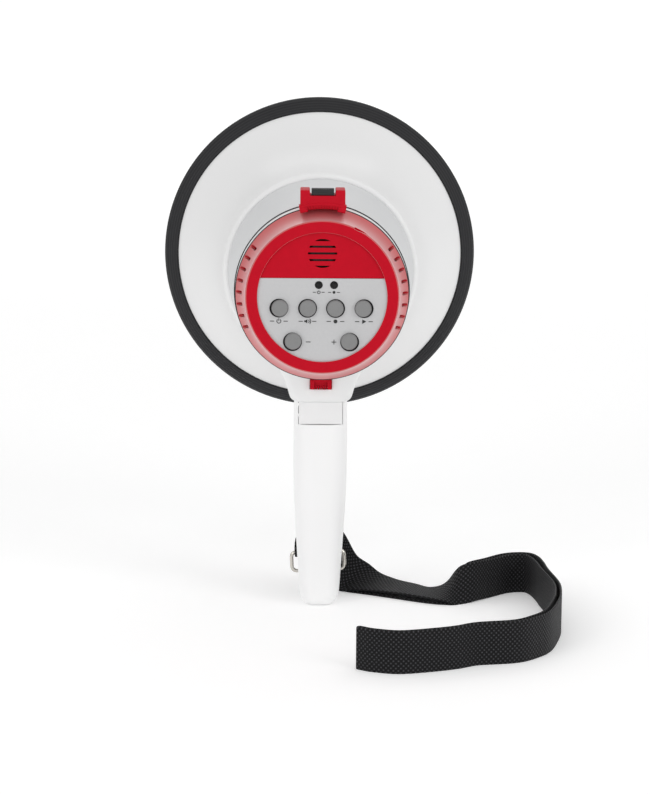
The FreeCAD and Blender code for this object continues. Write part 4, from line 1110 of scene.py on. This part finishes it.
class MEGAPHONE_OT_inside(bpy.types.Operator):
    """Give the seals, screws, driver, cells and circuit parts their finishes"""

    bl_idname = "megaphone.inside"
    bl_label = "Inner parts"

    def execute(self, context):
        steel = finish_of("zinc_plated_steel", linear("B9BCC0"), 0.3, metal=1.0, grit=0.5, grit_depth=0.01,
                          mottle=3, shift=0.12, bump_from=drawn_scratches)
        ferrite = finish_of("sintered_ferrite", linear("3A3A3D"), 0.7, ior=1.9, grit=0.6, grit_depth=0.03, mottle=3,
                            shift=0.2)
        brass = finish_of("nickel_plated_brass", linear("C8B070"), 0.28, metal=1.0, grit=0.5, grit_depth=0.008,
                          mottle=2, shift=0.1)
        copper = finish_of("enamelled_copper_wire", linear("A5562A"), 0.3, metal=1.0, grit=0.3, grit_depth=0.04,
                           mottle=1, shift=0.15)
        board = finish_of("solder_mask_green", linear("14532D"), 0.35, grit=0.8, grit_depth=0.02, mottle=4,
                          shift=0.12)
        cell = finish_of("cell_sleeve_shrink_film", linear("2F6FA5"), 0.25, ior=1.57, grit=4, grit_depth=0.02,
                         mottle=9, shift=0.12)
        film = finish_of("polyester_diaphragm_film", linear("B98A4A"), 0.22, ior=1.64, grit=1.4, grit_depth=0.05,
                         mottle=4, shift=0.1)
        by_slot = {
            "white_abs": white_abs(), "white_handle": white_handle_abs(), "red_abs": red_abs_polished(),
            "silver_panel": painted_panel(), "grey_button": grey_abs(), "black_plastic": black_abs(),
            "rim_rubber": black_rubber(), "seal_rubber": black_rubber(), "steel": steel, "chrome_wire": steel,
            "ferrite": ferrite, "board": board, "cell": cell, "contact": brass, "diaphragm": film,
            "light": black_abs(), "webbing": black_rubber(),
        }
        slots = node_slots()
        # The microphone behind the grille is black so that the grille's slots look dark: painted shade in the slots.
        own = {"voice_coil": copper, "microphone": black_rubber(), "microphone_cover": red_abs_stippled()}
        for name, thing in NODES.items():
            finish = own.get(name) or by_slot[slots[name]]
            thing.data.materials.clear()
            thing.data.materials.append(finish)
        return {"FINISHED"}


def node_slots():
    """Each node's name with the record's slot for it."""
    return {part["node"]: part["material_slot"] for part in frame["record"]["subparts"]}


# ---- stage ----


class MegaphoneStage(bpy.types.PropertyGroup):
    floor_colour: FloatVectorProperty(name="Floor colour", description="Colour of the floor and backdrop",
                                      subtype="COLOR", size=3, min=0, max=1, default=(0.93, 0.93, 0.93))
    floor_glow: FloatProperty(name="Floor glow", description="Light that the floor gives off, as a light table",
                              default=0.18, min=0)
    daylight: FloatProperty(name="Room light", description="Strength of the even light all round", default=0.645,
                            min=0)
    lens: FloatProperty(name="Lens", description="Focal length of the camera", default=130.1, unit="CAMERA")


class MEGAPHONE_OT_stage(bpy.types.Operator):
    """Add the pale floor that sweeps up behind, the soft studio light and the camera"""

    bl_idname = "megaphone.stage"
    bl_label = "Stage, light and camera"

    def execute(self, context):
        sizes = context.scene.megaphone_stage
        sweep = np.vstack([[(-9000, 0)], arc((6000, 0), (9000, 3000), 3000, 24), [(9000, 9000)]])
        wide = np.array([-12000.0, 12000.0])
        points = np.stack(np.broadcast_arrays(wide[None, :], sweep[:, :1], sweep[:, 1:]), axis=-1)
        mesh = bpy.data.meshes.new("floor_sweep")
        faces = grid_faces(len(sweep), 2, wrap_columns=False)
        mesh.from_pydata((points.reshape(-1, 3) * MM).tolist(), [], [face[::-1] for face in faces])
        floor = placed("floor_sweep", mesh)
        shade(floor, 60)
        floor.data.materials.append(finish_of("opal_acrylic_light_table", tuple(sizes.floor_colour), 0.9, grit=2,
                                              grit_depth=0.002, mottle=400, shift=0.004, rough_shift=0.02,
                                              gloss=0.0, glow=sizes.floor_glow))
        world = bpy.data.worlds.new("studio_room")
        world.use_nodes = True
        world.node_tree.nodes["Background"].inputs["Color"].default_value = (1, 1, 1, 1)
        world.node_tree.nodes["Background"].inputs["Strength"].default_value = sizes.daylight
        context.scene.world = world
        for name, place, aim, size, power in (
            ("left_softbox", (-1.9, -2.2, 1.3), (0, 0, 0.15), 1.4, 16),
            ("right_softbox", (2.1, -2.0, 1.3), (0, 0, 0.15), 1.4, 18.5),
            ("top_softbox", (0.3, -0.6, 2.0), (0, 0, 0.15), 1.6, 3),
            ("backdrop_softbox", (0, 4.5, 3.0), (0, 4.6, 0), 4.0, 45),
        ):
            light = bpy.data.lights.new(name, "AREA")
            light.size = size
            light.energy = power
            lamp = placed(name, light)
            lamp.location = place
            away = np.array(place) - np.array(aim)
            lamp.rotation_euler = (math.acos(away[2] / np.linalg.norm(away)), 0,
                                   math.atan2(away[1], away[0]) + math.pi / 2)
        camera = bpy.data.cameras.new("view")
        camera.lens = sizes.lens
        camera.sensor_width = 36
        camera.clip_end = 100
        eye = placed("view", camera)
        eye.location = (-0.0149, -1.750, 0.426)
        yaw, pitch, roll = (math.radians(value) for value in (-0.58, 80.4, 0.44))
        turn = Matrix.Rotation(yaw, 3, "Z") @ Matrix.Rotation(pitch, 3, "X") @ Matrix.Rotation(roll, 3, "Z")
        eye.rotation_euler = turn.to_euler()
        context.scene.camera = eye
        # A plain white studio look: colours come out as they are given, with no film curve.
        context.scene.view_settings.view_transform = "Standard"
        return {"FINISHED"}


# ---- sidebar ----


GROUPS = {
    "megaphone_horn": MegaphoneHorn,
    "megaphone_cap": MegaphoneCap,
    "megaphone_handle": MegaphoneHandle,
    "megaphone_strap": MegaphoneStrap,
    "megaphone_stage": MegaphoneStage,
}
OPERATORS = (
    MEGAPHONE_OT_stage, MEGAPHONE_OT_inside, MEGAPHONE_OT_horn, MEGAPHONE_OT_throat, MEGAPHONE_OT_body,
    MEGAPHONE_OT_cap, MEGAPHONE_OT_panel, MEGAPHONE_OT_buttons, MEGAPHONE_OT_latch, MEGAPHONE_OT_neck,
    MEGAPHONE_OT_fold_lock, MEGAPHONE_OT_handle, MEGAPHONE_OT_trigger, MEGAPHONE_OT_ring, MEGAPHONE_OT_strap,
    MEGAPHONE_OT_springs,
)


class MEGAPHONE_PT_sidebar(bpy.types.Panel):
    """Lists the megaphone's sizes, colours and pieces"""

    bl_label = "Megaphone"
    bl_idname = "MEGAPHONE_PT_sidebar"
    bl_space_type = "VIEW_3D"
    bl_region_type = "UI"
    bl_category = "Megaphone"

    def draw(self, context):
        for name, group in GROUPS.items():
            box = self.layout.box()
            for prop in group.__annotations__:
                box.prop(getattr(context.scene, name), prop)
        for operator in OPERATORS:
            self.layout.operator(operator.bl_idname)


def register():
    for name, group in GROUPS.items():
        bpy.utils.register_class(group)
        setattr(bpy.types.Scene, name, PointerProperty(type=group))
    for operator in OPERATORS:
        bpy.utils.register_class(operator)
    bpy.utils.register_class(MEGAPHONE_PT_sidebar)


def unregister():
    bpy.utils.unregister_class(MEGAPHONE_PT_sidebar)
    for operator in reversed(OPERATORS):
        bpy.utils.unregister_class(operator)
    for name, group in reversed(GROUPS.items()):
        delattr(bpy.types.Scene, name)
        bpy.utils.unregister_class(group)


def main():
    register()
    for operator in OPERATORS:
        getattr(bpy.ops.megaphone, operator.bl_idname.split(".")[1])()


if __name__ == "__main__":
    main()
